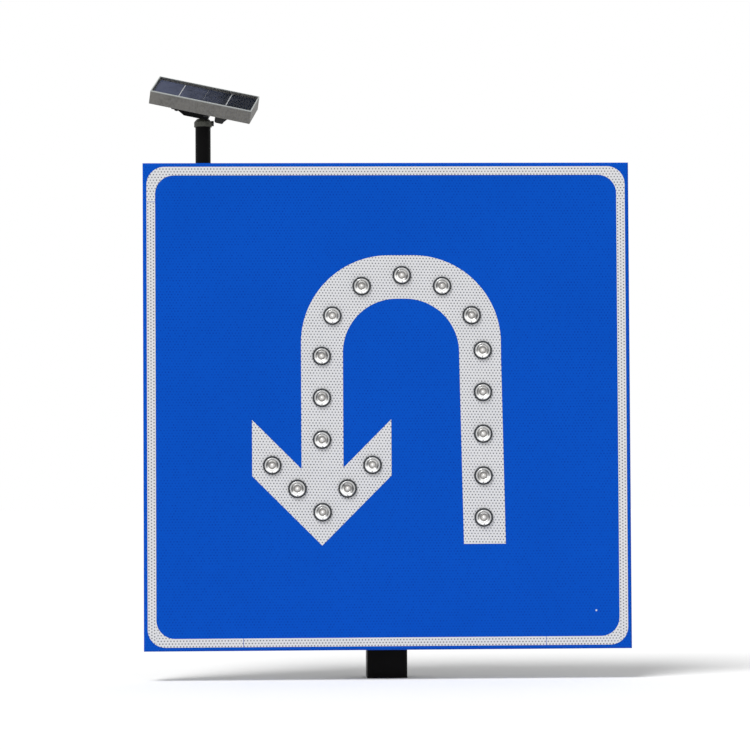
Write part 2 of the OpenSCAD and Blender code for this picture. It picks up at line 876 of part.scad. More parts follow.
module clamp_bolts() {
    tail_y = ear_back_y + washer_t + nut_t + bolt_tail;
    color("silver") for (spot = bolt_spots) {
        translate([spot[0], bolt_head_y - bolt_head_t / 2, sign_z + spot[1]])
            cube([slot_w, bolt_head_t, bolt_head_len], center = true);
        translate([spot[0], bolt_head_y + rail_t / 2, sign_z + spot[1]])
            cube([bolt_neck, rail_t, bolt_neck], center = true);
        backwards(spot[0], bolt_head_y, spot[1]) cylinder(r = bolt_r, h = tail_y - bolt_head_y);
    }
}

module clamp_nuts() {
    color("silver") for (spot = bolt_spots) {
        backwards(spot[0], ear_back_y, spot[1]) difference() {
            cylinder(r = washer_r, h = washer_t);
            translate([0, 0, -cut]) cylinder(r = bolt_r + fit, h = washer_t + 2 * cut);
        }
        backwards(spot[0], ear_back_y + washer_t, spot[1]) difference() {
            linear_extrude(nut_t) hexagon(nut_w);
            translate([0, 0, -cut]) cylinder(r = bolt_r + running, h = nut_t + 2 * cut);
        }
    }
}

// Control box and what it holds

module at_box(y) {
    translate([box_x, y, sign_z]) rotate([90, 0, 0]) children();
}

module box_corners() {
    for (sx = [-1, 1], sy = [-1, 1])
        translate([sx * (box_w / 2 - boss_in), sy * (box_h / 2 - boss_in)]) children();
}

module cell_row() {
    for (i = [0:cells - 1])
        translate([cell_end_x, cell_y, sign_z + (i - (cells - 1) / 2) * cell_pitch])
            rotate([0, 90, 0]) children();
}

module control_box() {
    inner_w = box_w - 2 * box_t;
    inner_h = box_h - 2 * box_t;
    floor_y = cover_y + box_t / 2;
    color([0.16, 0.16, 0.17]) difference() {
        union() {
            at_box(rim_y) difference() {
                linear_extrude(box_depth) rounded_rect(box_w, box_h, box_r);
                translate([0, 0, -cut]) linear_extrude(box_depth - box_t + cut)
                    rounded_rect(inner_w, inner_h, box_r - box_t);
            }
            at_box(rim_y) linear_extrude(box_depth - box_t) box_corners() circle(boss_r);
            for (sx = [-1, 1], sz = [-1, 1])
                translate([box_x + sx * foot_x, cover_y + foot_t / 2, sign_z])
                    translate([0, 0, sz * (foot_z - foot_lap / 2)])
                    cube([foot_w, foot_t, foot_w + foot_lap], center = true);
            for (x = [cradle_in, cell_len - cradle_in - cradle_t])
                translate([cell_end_x + x, floor_y, sign_z - cells * cell_pitch / 2])
                    cube([cradle_t, box_t / 2 + cradle_h, cells * cell_pitch]);
            for (sx = [-1, 1], sz = [-1, 1])
                backwards(pcb_x + sx * (pcb_w / 2 - pcb_post_in), floor_y,
                    sz * (pcb_h / 2 - pcb_post_in))
                    cylinder(r = pcb_post_r, h = box_t / 2 + pcb_rise);
        }
        cell_row() translate([0, 0, -cut]) cylinder(r = cell_r + fit, h = cell_len + 2 * cut);
        at_box(rim_y) translate([0, 0, -cut]) linear_extrude(box_depth - 2 * box_t)
            box_corners() circle(lid_screw_r);
        for (sx = [-1, 1], sz = [-1, 1])
            backwards(box_x + sx * foot_x, cover_y - cut, sz * foot_z)
                cylinder(r = screw_r + fit, h = foot_t + 2 * cut);
        translate([mast_x, cover_y + box_depth / 2, sign_z + box_h / 2 - box_t - cut])
            cylinder(r = gland_r + fit, h = box_t + 2 * cut);
        backwards(box_wire_x, cover_y - cut, 0) cylinder(r = wire_hole_r, h = box_t + 2 * cut);
    }
}

module box_gasket() {
    color([0.2, 0.2, 0.2]) at_box(lid_y) linear_extrude(gasket_t) difference() {
        rounded_rect(box_w - 2 * gasket_inset, box_h - 2 * gasket_inset, box_r - gasket_inset);
        difference() {
            rounded_rect(box_w - 2 * box_t, box_h - 2 * box_t, box_r - box_t);
            box_corners() circle(boss_r);
        }
        box_corners() circle(lid_screw_hole_r);
    }
}

module box_lid() {
    color([0.14, 0.14, 0.15]) at_box(lid_y + lid_t) difference() {
        linear_extrude(lid_t) rounded_rect(box_w, box_h, box_r);
        translate([0, 0, lid_t - lid_hollow]) linear_extrude(lid_hollow + cut) difference() {
            rounded_rect(box_w - 2 * box_t, box_h - 2 * box_t, box_r - box_t);
            box_corners() circle(boss_r);
        }
        translate([0, 0, -cut]) linear_extrude(lid_t + 2 * cut)
            box_corners() circle(lid_screw_hole_r);
        translate([0, 0, -cut]) linear_extrude(lid_recess + cut)
            box_corners() circle(2 * lid_screw_r + lid_recess_gap);
    }
}

module lid_screws() {
    length = lid_t + gasket_t + lid_screw_grip;
    seat_y = lid_y + lid_t - lid_recess;
    color("silver") for (sx = [-1, 1], sz = [-1, 1])
        backwards(box_x + sx * (box_w / 2 - boss_in), seat_y, sz * (box_h / 2 - boss_in))
            pan_screw(lid_screw_r - running, length, 2 * lid_screw_r, 1.2 * lid_screw_r);
}

module fixing_screws() {
    color("gainsboro") for (spot = fixing_spots)
        backwards(spot[0], cover_y + spot[2], spot[1])
            pan_screw(screw_r, screw_len, head_r, head_h);
}

module battery_cells() {
    color("steelblue") cell_row() {
        cylinder(r = cell_r, h = cell_len);
        translate([0, 0, cell_len]) cylinder(r = cell_r / 3, h = cell_tip_h);
    }
}

module controller_board() {
    board_y = cover_y + box_t + pcb_rise;
    left = pcb_x - pcb_w / 2;
    low = sign_z - pcb_h / 2;
    top_y = board_y + board_t;
    color("seagreen") translate([left, board_y, low]) cube([pcb_w, board_t, pcb_h]);
    capacitor_z = pcb_h / 2 - capacitor_drop;
    color([0.2, 0.2, 0.2])
        translate([left + converter_at[0], top_y, low + converter_at[1]]) cube(converter);
    color([0.15, 0.45, 0.3])
        translate([left + terminals_at[0], top_y, low + terminals_at[1]]) cube(terminals);
    color([0.2, 0.2, 0.2]) backwards(pcb_x + capacitor_side, top_y, capacitor_z)
        cylinder(r = big_capacitor[0], h = big_capacitor[1]);
    color([0.2, 0.2, 0.2]) backwards(pcb_x - capacitor_side, top_y, capacitor_z)
        cylinder(r = small_capacitor[0], h = small_capacitor[1]);
}

// cable gland with its seat at z = 0 and its mouth upwards, closed by its own membrane
module gland(r, bore, wall, nut_flats, height) {
    dome_r = nut_flats / 2 - gland_step;
    barrel_h = height - 2 * gland_base_t;
    shank = wall + gland_shank;
    difference() {
        union() {
            translate([0, 0, -shank]) cylinder(r = r, h = shank);
            linear_extrude(gland_base_t) hexagon(nut_flats);
            translate([0, 0, gland_base_t]) rotate_extrude() union() {
                square([dome_r, barrel_h]);
                intersection() {
                    translate([0, barrel_h]) circle(dome_r);
                    square([dome_r, barrel_h + gland_base_t]);
                }
            }
        }
        translate([0, 0, -shank - cut]) cylinder(r = bore, h = shank + cut);
        translate([0, 0, gland_base_t / 2]) cylinder(r = bore, h = height);
    }
}

module box_gland() {
    color([0.12, 0.12, 0.12])
        translate([mast_x, cover_y + box_depth / 2, sign_z + box_h / 2])
        gland(gland_r, gland_bore_r, box_t, gland_nut_w, gland_h);
}

module wire_grommet() {
    stack = cover_t + box_t;
    color([0.1, 0.1, 0.1]) backwards(box_wire_x, cover_y - cover_t, 0) rotate_extrude()
        difference() {
            translate([wire_hole_r - grommet_lip, -grommet_t])
                square([2 * grommet_lip, stack + 2 * grommet_t]);
            translate([wire_hole_r - fit, 0]) square([2 * grommet_lip, stack]);
        }
}

// Mast and its clips

module mast() {
    color([0.06, 0.06, 0.07]) translate([mast_x, mast_y, sign_z + mast_foot]) difference() {
        cylinder(r = mast_r, h = mast_top - mast_foot);
        translate([0, 0, -cut]) cylinder(r = mast_r - mast_t, h = mast_top - mast_foot + 2 * cut);
    }
}

module mast_clip(height) {
    bore = mast_r + fit;
    out = bore + clip_t;
    drop = mast_y - cover_y;
    color("silver") translate([mast_x, mast_y, sign_z + height - clip_h / 2]) difference() {
        linear_extrude(clip_h) difference() {
            union() {
                circle(out);
                translate([-out, -drop]) square([2 * out, drop]);
                translate([-out - clip_ear, -drop]) square([2 * (out + clip_ear), clip_t]);
            }
            circle(bore);
            translate([-bore, -2 * out]) square([2 * bore, 2 * out]);
            translate([-2 * out, -drop - 2 * out]) square([4 * out, 2 * out]);
        }
        for (side = [-1, 1])
            translate([side * clip_screw_x, -drop - cut, clip_h / 2])
                rotate([-90, 0, 0]) cylinder(r = screw_r + fit, h = clip_t + 2 * cut);
    }
}

// Swivel between mast and panel

// turned section of the socket: collar over the mast, spigot inside it, cup for the ball
module socket_section() {
    low = seat_z - spigot_len;
    difference() {
        union() {
            translate([0, low]) square([spigot_r, spigot_len]);
            translate([0, seat_z]) square([collar_r, collar_top_z - seat_z]);
            polygon([[0, collar_top_z], [collar_r, collar_top_z],
                [rim_r + rim_bevel, rim_z - rim_bevel], [rim_r, rim_z], [0, rim_z]]);
            translate([mast_r + running, seat_z - skirt_depth])
                square([collar_r - mast_r - running, skirt_depth]);
        }
        intersection() {
            circle(ball_r + running);
            translate([0, -2 * ball_r]) square([2 * ball_r, 4 * ball_r]);
        }
        polygon([[0, 0], [mouth_r, 0], [mouth_r, mouth_z], [rim_r - rim_t, rim_z],
            [rim_r - rim_t, rim_z + cut], [0, rim_z + cut]]);
        translate([0, low - cut]) square([spigot_r - spigot_t, spigot_len + cut]);
    }
}

module swivel_socket() {
    color([0.33, 0.34, 0.3]) at_ball() difference() {
        union() {
            rotate_extrude() socket_section();
            translate([grip_boss_x, 0, 0]) rotate([0, 90, 0])
                cylinder(r = grip_r, h = grip_seat - grip_boss_x);
        }
        translate([ball_r - cut, 0, 0]) rotate([0, 90, 0])
            cylinder(r = grip_shank_r + fit, h = grip_seat - ball_r + 2 * cut);
        sphere(ball_r + running);
    }
}

module clamp_screw() {
    tip = ball_r + 2 * running;
    color([0.1, 0.1, 0.1]) at_ball() rotate([0, 90, 0]) {
        translate([0, 0, tip]) cylinder(r = grip_shank_r, h = grip_seat - tip);
        translate([0, 0, grip_seat]) linear_extrude(grip_t) difference() {
            circle(grip_r);
            for (turn = [0:360 / grip_notches:359])
                rotate(turn) translate([grip_r + grip_notch_r / 3, 0]) circle(grip_notch_r, $fn = 24);
        }
    }
}

module ball_stud() {
    color([0.36, 0.37, 0.33]) at_panel() {
        sphere(ball_r);
        cylinder(r = stem_r, h = flare_z);
        translate([0, 0, flare_z]) cylinder(r1 = flare_low_r, r2 = flare_r, h = bracket_rise - flare_z);
        translate([0, 0, bracket_rise]) cylinder(r = stud_r, h = stud_len);
    }
}

module stud_nut() {
    color("silver") at_panel() translate([0, 0, bracket_rise + bracket_floor_t]) difference() {
        linear_extrude(stud_nut_t) hexagon(stud_nut_w);
        translate([0, 0, -cut]) cylinder(r = stud_r + running, h = stud_nut_t + 2 * cut);
    }
}

// Panel bracket, frame and laminate

// side view of the bracket's body, its sloping end towards -x
module bracket_outline() {
    polygon([[-bracket_arm, 0], [bracket_end, 0], [bracket_end, bracket_depth],
        [-bracket_reach, bracket_depth]]);
}

// side view of the hollow above the bracket's floor
module bracket_hollow() {
    slope = (bracket_reach - bracket_arm) / bracket_depth;
    end = bracket_t * sqrt(1 + slope * slope) - bracket_arm;
    top = bracket_depth + cut;
    polygon([[end - slope * bracket_floor_t, bracket_floor_t],
        [bracket_end - bracket_t, bracket_floor_t],
        [bracket_end - bracket_t, top],
        [end - slope * top, top]]);
}

module bracket_slab(width) {
    translate([0, width / 2, 0]) rotate([90, 0, 0]) linear_extrude(width) children();
}

module panel_bracket() {
    length = bracket_reach + bracket_end;
    color([0.1, 0.1, 0.1]) at_panel() translate([0, 0, bracket_rise]) difference() {
        union() {
            bracket_slab(bracket_w) bracket_outline();
            translate([-bracket_reach, panel_shift[1] - bracket_flange_w / 2,
                bracket_depth - bracket_flange_t])
                cube([length, bracket_flange_w, bracket_flange_t]);
        }
        bracket_slab(bracket_w - 2 * bracket_t) bracket_hollow();
        translate([0, 0, -cut]) cylinder(r = stud_r + fit, h = bracket_floor_t + 2 * cut);
        for (spot = bracket_screw_spots)
            translate(spot) cylinder(r = bracket_screw_r + fit, h = bracket_depth + cut);
    }
}

module bracket_screws() {
    color("silver") at_panel() for (spot = bracket_screw_spots)
        translate(spot) translate([0, 0, panel_z - bracket_flange_t]) rotate([180, 0, 0])
            pan_screw(bracket_screw_r, bracket_screw_len, bracket_head_r, bracket_head_h);
}

// local z runs along the stem from the ball, and the panel's middle is at x = 0, y = 0
module at_frame() {
    at_panel() translate(panel_shift) children();
}

module panel_frame() {
    color([0.45, 0.45, 0.44]) difference() {
        at_frame() translate([0, 0, panel_z]) difference() {
            translate([-panel_len / 2, -panel_w / 2, 0]) cube([panel_len, panel_w, frame_depth]);
            frame_hole(frame_t, ledge_t, backsheet_z - panel_z - 2 * ledge_t);
            frame_hole(frame_t, backsheet_z - panel_z, panel_top_z - lip_t - backsheet_z);
            frame_hole(lip_w, backsheet_z - panel_z - 2 * ledge_t, frame_depth);
            frame_hole(foot_lip_w, -cut, 2 * ledge_t + cut);
        }
        at_panel() for (spot = bracket_screw_spots)
            translate(spot) translate([0, 0, panel_z - cut])
                cylinder(r = bracket_screw_r + running, h = ledge_t + 2 * cut);
    }
}

// rectangular hole in the panel's frame, leaving a rim of the given width
module frame_hole(rim, z, h) {
    translate([rim - panel_len / 2, rim - panel_w / 2, z])
        cube([panel_len - 2 * rim, panel_w - 2 * rim, h]);
}

module laminate_layer(z, t) {
    at_frame() translate([-laminate_len / 2, -laminate_w / 2, z])
        cube([laminate_len, laminate_w, t]);
}

module panel_glass() {
    color([0.6, 0.7, 0.8, 0.4]) laminate_layer(glass_z, glass_t);
}

module solar_cells() {
    width = panel_w - 2 * (lip_w + cell_margin);
    last = len(cell_lengths) - 1;
    total = first_sum(cell_lengths, last + 1) + first_sum(cell_gaps, last);
    color([0.14, 0.15, 0.25]) at_frame() for (i = [0:last])
        translate([first_sum(cell_lengths, i) + first_sum(cell_gaps, i) - total / 2, -width / 2, cells_z])
            cube([cell_lengths[i], width, cell_t]);
}

module panel_backsheet() {
    color("whitesmoke") laminate_layer(backsheet_z, backsheet_t);
}

module junction_block() {
    low = -jbox_drop;
    slope_x = jbox_len + jbox_slope;
    at_panel() translate([jbox_x, panel_shift[1], bracket_rise]) {
        translate([0, bracket_w / 2, 0]) rotate([90, 0, 0]) linear_extrude(bracket_w) union() {
            for (x = [jbox_corner, jbox_len - jbox_corner])
                translate([x, low + jbox_corner]) circle(jbox_corner);
            translate([jbox_corner, low]) square([jbox_len - 2 * jbox_corner, jbox_corner]);
            polygon([[0, low + jbox_corner], [jbox_len, low + jbox_corner],
                [slope_x, bracket_depth], [0, bracket_depth]]);
        }
        translate([0, -jbox_w / 2, bracket_depth])
            cube([slope_x, jbox_w, backsheet_z - panel_z]);
    }
}

module at_panel_gland() {
    at_panel()
        translate([jbox_x + jbox_len / 2, panel_shift[1] + bracket_w / 2,
            bracket_rise + bracket_depth / 2])
        rotate([-90, 0, 0]) children();
}

// potted junction box, bored for its cable gland
module junction_box() {
    color([0.1, 0.1, 0.1]) difference() {
        junction_block();
        at_panel_gland() translate([0, 0, -gland_shank - fit])
            cylinder(r = jgland_r + fit, h = gland_shank + fit + cut);
    }
}

module panel_gland() {
    color([0.12, 0.12, 0.12]) at_panel_gland()
        gland(jgland_r, jgland_bore_r, 0, jgland_nut_w, jgland_h);
}

face_panel();
blue_sheeting();
border_sheeting();
arrow_sheeting();
for (i = [0:len(light_spots) - 1])
    led_lens(i);
led_seals();
led_emitters();
led_nuts();
back_cover();
cover_screws();
rail(rail_z);  // rail_upper
rail(-rail_z);  // rail_lower
rail_rivets();
post();
post_cap();
clamp_strap(rail_z);  // clamp_upper
clamp_strap(-rail_z);  // clamp_lower
clamp_bolts();
clamp_nuts();
control_box();
box_gasket();
box_lid();
lid_screws();
fixing_screws();
battery_cells();
controller_board();
box_gland();
wire_grommet();
mast();
mast_clip(clip_heights[0]);  // mast_clip_upper
mast_clip(clip_heights[1]);  // mast_clip_lower
swivel_socket();
clamp_screw();
ball_stud();
stud_nut();
panel_bracket();
bracket_screws();
panel_frame();
panel_glass();
solar_cells();
panel_backsheet();
junction_box();
panel_gland();
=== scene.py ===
"""Looks of a solar powered LED U-turn sign, in metres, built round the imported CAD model."""

import math
import random

import bmesh
import bpy
from mathutils import Matrix, Vector


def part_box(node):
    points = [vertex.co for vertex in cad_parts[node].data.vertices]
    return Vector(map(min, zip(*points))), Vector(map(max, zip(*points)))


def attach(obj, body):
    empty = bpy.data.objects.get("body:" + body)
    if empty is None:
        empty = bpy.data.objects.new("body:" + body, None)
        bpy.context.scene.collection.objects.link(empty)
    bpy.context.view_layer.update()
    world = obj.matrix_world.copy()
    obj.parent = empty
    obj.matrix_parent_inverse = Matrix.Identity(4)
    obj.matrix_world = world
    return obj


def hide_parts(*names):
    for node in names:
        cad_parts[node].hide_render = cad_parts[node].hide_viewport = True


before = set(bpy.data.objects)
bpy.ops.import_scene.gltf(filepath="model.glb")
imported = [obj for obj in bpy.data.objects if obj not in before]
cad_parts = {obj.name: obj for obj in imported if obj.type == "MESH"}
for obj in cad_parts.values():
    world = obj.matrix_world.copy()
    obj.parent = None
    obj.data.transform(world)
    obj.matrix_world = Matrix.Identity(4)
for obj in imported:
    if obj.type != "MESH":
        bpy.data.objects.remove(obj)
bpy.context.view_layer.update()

# Sign tray: one sheet of 1.5 mm aluminium, sheared, punched for the lights and folded back
# along its four edges, with a flange folded in behind. The bare metal keeps the fine
# straight lines of the rolling mill, and it only shows on the tray's sides and back.
mm = 0.001
TRAY_METAL = "#b4b7ba"
ROLLING_LINE = 0.35 * mm
ROLLING_DEPTH = 0.02 * mm


def linear(code):
    """A hex sRGB colour as the linear numbers that a shader takes."""
    parts = [int(code[i:i + 2], 16) / 255 for i in (1, 3, 5)]
    return [c / 12.92 if c <= 0.04045 else ((c + 0.055) / 1.055) ** 2.4 for c in parts] + [1.0]


def new_finish(name, colour, roughness, metallic=0.0, ior=1.5):
    """A material named for the real one, its surface shader set to even values."""
    finish = bpy.data.materials.new(name)
    finish.use_nodes = True
    shader = finish.node_tree.nodes["Principled BSDF"]
    shader.inputs["Base Color"].default_value = linear(colour)
    shader.inputs["Roughness"].default_value = roughness
    shader.inputs["Metallic"].default_value = metallic
    shader.inputs["IOR"].default_value = ior
    return finish, shader


def add(finish, kind, inputs, **settings):
    """One node: its own settings, and for each input a number or the output that feeds it."""
    node = finish.node_tree.nodes.new(kind)
    for name, value in settings.items():
        setattr(node, name, value)
    for name, value in inputs.items():
        if isinstance(value, bpy.types.NodeSocket):
            finish.node_tree.links.new(value, node.inputs[name])
        else:
            node.inputs[name].default_value = value
    return node


def feed(finish, shader, name, output):
    """The output drives the surface shader's input of this name."""
    finish.node_tree.links.new(output, shader.inputs[name])


def dress(node, finish):
    """The CAD node wears this finish all over."""
    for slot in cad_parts[node].material_slots:
        slot.material = finish


tray_finish, shader = new_finish("mill finish aluminium sheet", TRAY_METAL, 0.38, metallic=1.0)
place = add(tray_finish, "ShaderNodeTexCoord", {}).outputs["Object"]
along = add(tray_finish, "ShaderNodeMapping", {"Vector": place, "Scale": (0.02, 1, 1)})
lines = add(tray_finish, "ShaderNodeTexNoise", {
    "Vector": along.outputs["Vector"], "Scale": 1 / ROLLING_LINE, "Detail": 3.0}).outputs["Fac"]
sheen = add(tray_finish, "ShaderNodeMapRange", {
    "Value": lines, "From Min": 0.3, "From Max": 0.7, "To Min": 0.3, "To Max": 0.5})
feed(tray_finish, shader, "Roughness", sheen.outputs["Result"])
raised = add(tray_finish, "ShaderNodeBump", {
    "Height": lines, "Strength": 0.15, "Distance": ROLLING_DEPTH})
feed(tray_finish, shader, "Normal", raised.outputs["Normal"])
dress("face_panel", tray_finish)

# Blue sheeting: prismatic reflective film with a clear top layer, stuck on by a roller and
# wrapped 9 mm down the tray's sides. Its prisms lie in a honeycomb of cells 3.9 mm apart,
# which barely shows through the blue ink. A pale nick by the lower right corner is worn in.
BLUE = "#0550bf"
BLUE_DEEP = "#0349b2"
BLUE_DOT = "#02389c"
BLUE_NICK = "#c9cfda"
CELL_PITCH = 3.91 * mm
ROW_PITCH = 3.41 * mm
DOT_RADIUS = 0.85 * mm
BLUE_DOT_EDGE = 0.5 * mm
BLUE_LAY = ((1.2 * mm, 0, 338.4 * mm), 0)
INK_PATCH = 5 * mm
NICK_AT = (256 * mm, -0.0685, 84 * mm)
NICK_RADIUS = 1.3 * mm


def cell_dots(finish, lay, soft):
    """1 in the dots between the film's honeycomb cells and 0 elsewhere, over X and Z.

    The lay of the film is the middle of one dot and the turn of its rows in degrees.
    The dots lie on two grids, the second set between the rows of the first.
    """
    place = add(finish, "ShaderNodeTexCoord", {}).outputs["Object"]
    laid = add(finish, "ShaderNodeMapping", {
        "Vector": place, "Location": lay[0], "Rotation": (0, math.radians(lay[1]), 0)},
        vector_type="TEXTURE").outputs["Vector"]
    nearest = []
    for shift in ((CELL_PITCH / 2, 0, ROW_PITCH), (CELL_PITCH, 0, 2 * ROW_PITCH)):
        spot = laid
        for step, by in (("ADD", shift), ("DIVIDE", (CELL_PITCH, 1, 2 * ROW_PITCH)),
                         ("FRACTION", (0, 0, 0)), ("SUBTRACT", (0.5, 0, 0.5)),
                         ("MULTIPLY", (CELL_PITCH, 0, 2 * ROW_PITCH))):
            spot = add(finish, "ShaderNodeVectorMath", {0: spot, 1: by}, operation=step).outputs[0]
        away = add(finish, "ShaderNodeVectorMath", {0: spot}, operation="LENGTH")
        nearest.append(away.outputs["Value"])
    away = add(finish, "ShaderNodeMath", {0: nearest[0], 1: nearest[1]}, operation="MINIMUM")
    return add(finish, "ShaderNodeMapRange", {
        "Value": away.outputs[0], "From Min": DOT_RADIUS - soft, "From Max": DOT_RADIUS + soft,
        "To Min": 1.0, "To Max": 0.0}, interpolation_type="SMOOTHSTEP").outputs["Result"]


def coated(finish, shader, colour, *coats):
    """The surface's colour: a first one, and others laid over it, each by its own share."""
    below = linear(colour) if isinstance(colour, str) else colour
    for share, over in coats:
        below = add(finish, "ShaderNodeMix", {
            "Factor": share, 6: below, 7: linear(over)}, data_type="RGBA").outputs[2]
    feed(finish, shader, "Base Color", below)


blue_finish, shader = new_finish("blue prismatic reflective film", BLUE, 0.4, ior=1.49)
shader.inputs["Specular IOR Level"].default_value = 0.04
place = add(blue_finish, "ShaderNodeTexCoord", {}).outputs["Object"]
clouds = add(blue_finish, "ShaderNodeTexNoise", {
    "Vector": place, "Scale": 9.0, "Detail": 4.0, "Roughness": 0.6})
uneven = add(blue_finish, "ShaderNodeTexNoise", {
    "Vector": place, "Scale": 1 / INK_PATCH, "Detail": 2.0})
strength = add(blue_finish, "ShaderNodeMapRange", {
    "Value": uneven.outputs["Fac"], "From Min": 0.35, "From Max": 0.65,
    "To Min": 0.25, "To Max": 1.0})
faint = add(blue_finish, "ShaderNodeMath", {
    0: cell_dots(blue_finish, BLUE_LAY, BLUE_DOT_EDGE), 1: strength.outputs["Result"]},
    operation="MULTIPLY")
away = add(blue_finish, "ShaderNodeVectorMath", {0: place, 1: NICK_AT}, operation="DISTANCE")
nick = add(blue_finish, "ShaderNodeMapRange", {
    "Value": away.outputs["Value"], "From Min": NICK_RADIUS, "From Max": NICK_RADIUS * 0.7})
coated(blue_finish, shader, BLUE, (clouds.outputs["Fac"], BLUE_DEEP),
       (faint.outputs[0], BLUE_DOT), (nick.outputs["Result"], BLUE_NICK))
dress("blue_sheeting", blue_finish)

# White border and arrow: the same film without ink, cut on a plotter and laid over the blue.
# The pale cells are dotted with grey where their walls meet. The arrow was laid 1.1 degrees
# askew, and the border's side strips were cut along the roll, so their rows stand upright.
WHITE = "#dbdbdd"
WHITE_DULL = "#cdced1"
WHITE_DOT = "#575a5f"
WHITE_DOT_EDGE = 0.3 * mm
WHITE_PATCH = 6 * mm
CELL_DEPTH = 0.05 * mm
ARROW_LAY = ((2.54 * mm, 0, 341.7 * mm), 1.1)
LEVEL_STRIP_LAY = ((0.88 * mm, 0, 626 * mm), 0)
UPRIGHT_STRIP_LAY = ((-290.15 * mm, 0, 338.73 * mm), -90)
SIDE_STRIP_IN = 284.6 * mm
LEFT_SEAM_AT = 589 * mm

for node, lays in (("arrow_sheeting", [ARROW_LAY]),
                   ("border_sheeting", [LEVEL_STRIP_LAY, UPRIGHT_STRIP_LAY])):
    film, shader = new_finish(
        f"white prismatic film of the {node.split('_')[0]}", WHITE, 0.35, ior=1.49)
    shader.inputs["Specular IOR Level"].default_value = 0.15
    place = add(film, "ShaderNodeTexCoord", {}).outputs["Object"]
    clouds = add(film, "ShaderNodeTexNoise", {
        "Vector": place, "Scale": 14.0, "Detail": 5.0, "Roughness": 0.6})
    uneven = add(film, "ShaderNodeTexNoise", {
        "Vector": place, "Scale": 1 / WHITE_PATCH, "Detail": 2.0})
    strength = add(film, "ShaderNodeMapRange", {
        "Value": uneven.outputs["Fac"], "From Min": 0.3, "From Max": 0.7,
        "To Min": 0.75, "To Max": 1.0})
    dots = cell_dots(film, lays[0], WHITE_DOT_EDGE)
    if len(lays) > 1:
        parts = add(film, "ShaderNodeSeparateXYZ", {"Vector": place})
        out = add(film, "ShaderNodeMath", {0: parts.outputs["X"]}, operation="ABSOLUTE")
        aside = add(film, "ShaderNodeMath", {
            0: out.outputs[0], 1: SIDE_STRIP_IN}, operation="GREATER_THAN")
        under = add(film, "ShaderNodeMath", {
            0: parts.outputs["Z"], 1: LEFT_SEAM_AT}, operation="LESS_THAN")
        upright = add(film, "ShaderNodeMath", {
            0: aside.outputs[0], 1: under.outputs[0]}, operation="MULTIPLY")
        dots = add(film, "ShaderNodeMix", {
            0: upright.outputs[0], 2: dots,
            3: cell_dots(film, lays[1], WHITE_DOT_EDGE)}).outputs[0]
    worn = add(film, "ShaderNodeMath", {
        0: dots, 1: strength.outputs["Result"]}, operation="MULTIPLY").outputs[0]
    coated(film, shader, WHITE, (clouds.outputs["Fac"], WHITE_DULL), (worn, WHITE_DOT))
    raised = add(film, "ShaderNodeBump", {
        "Height": worn, "Strength": 0.25, "Distance": CELL_DEPTH})
    feed(film, shader, "Normal", raised.outputs["Normal"])
    dress(node, film)

# Light units: a lens moulded in clear polycarbonate, pushed through the face from the front
# and held by a nut behind. The light of its optic is painted into its colour: painted
# highlight and shade in rings for the steps on its front, painted reflection of the silvered
# well as grey patches, and a painted lit crescent low in the well.
# Most of these greys are painted light: the rings, the dark patches and the lit crescent.
LENS_BRIGHT = "#f2f1ee"
LENS_GREY = "#b0afad"
LENS_PAINTED_REFLECTION = "#5a5a5b"
LENS_SMOKE = "#6b6a69"
LENS_PAINTED_LIGHT = "#fdfdfb"
GATE_GREY = "#8d8d8e"
LENS_PAINTED_RINGS = [(0.0, LENS_BRIGHT), (1.5, "#f0eeea"), (2.3, "#d8d5d1"), (3.2, "#8d8a87"),
              (4.1, "#7f7c7a"), (5.0, "#c2c1be"), (5.8, "#c2c1bf"), (7.0, LENS_GREY),
              (7.8, "#bcbcbb"), (8.6, "#c9c9c8"), (9.4, "#b3b5b6")]
LENS_RADIUS = 9.4 * mm
WELL_EDGE = (4.2 * mm, 5.4 * mm)
RIM_EDGE = (7.2 * mm, 8.2 * mm)
RIPPLE = 3 * mm
GATE_DOWN = 8.4 * mm
GATE_EDGE = (1.1 * mm, 0.6 * mm)
LENSES = 18
moulding = random.Random(11)

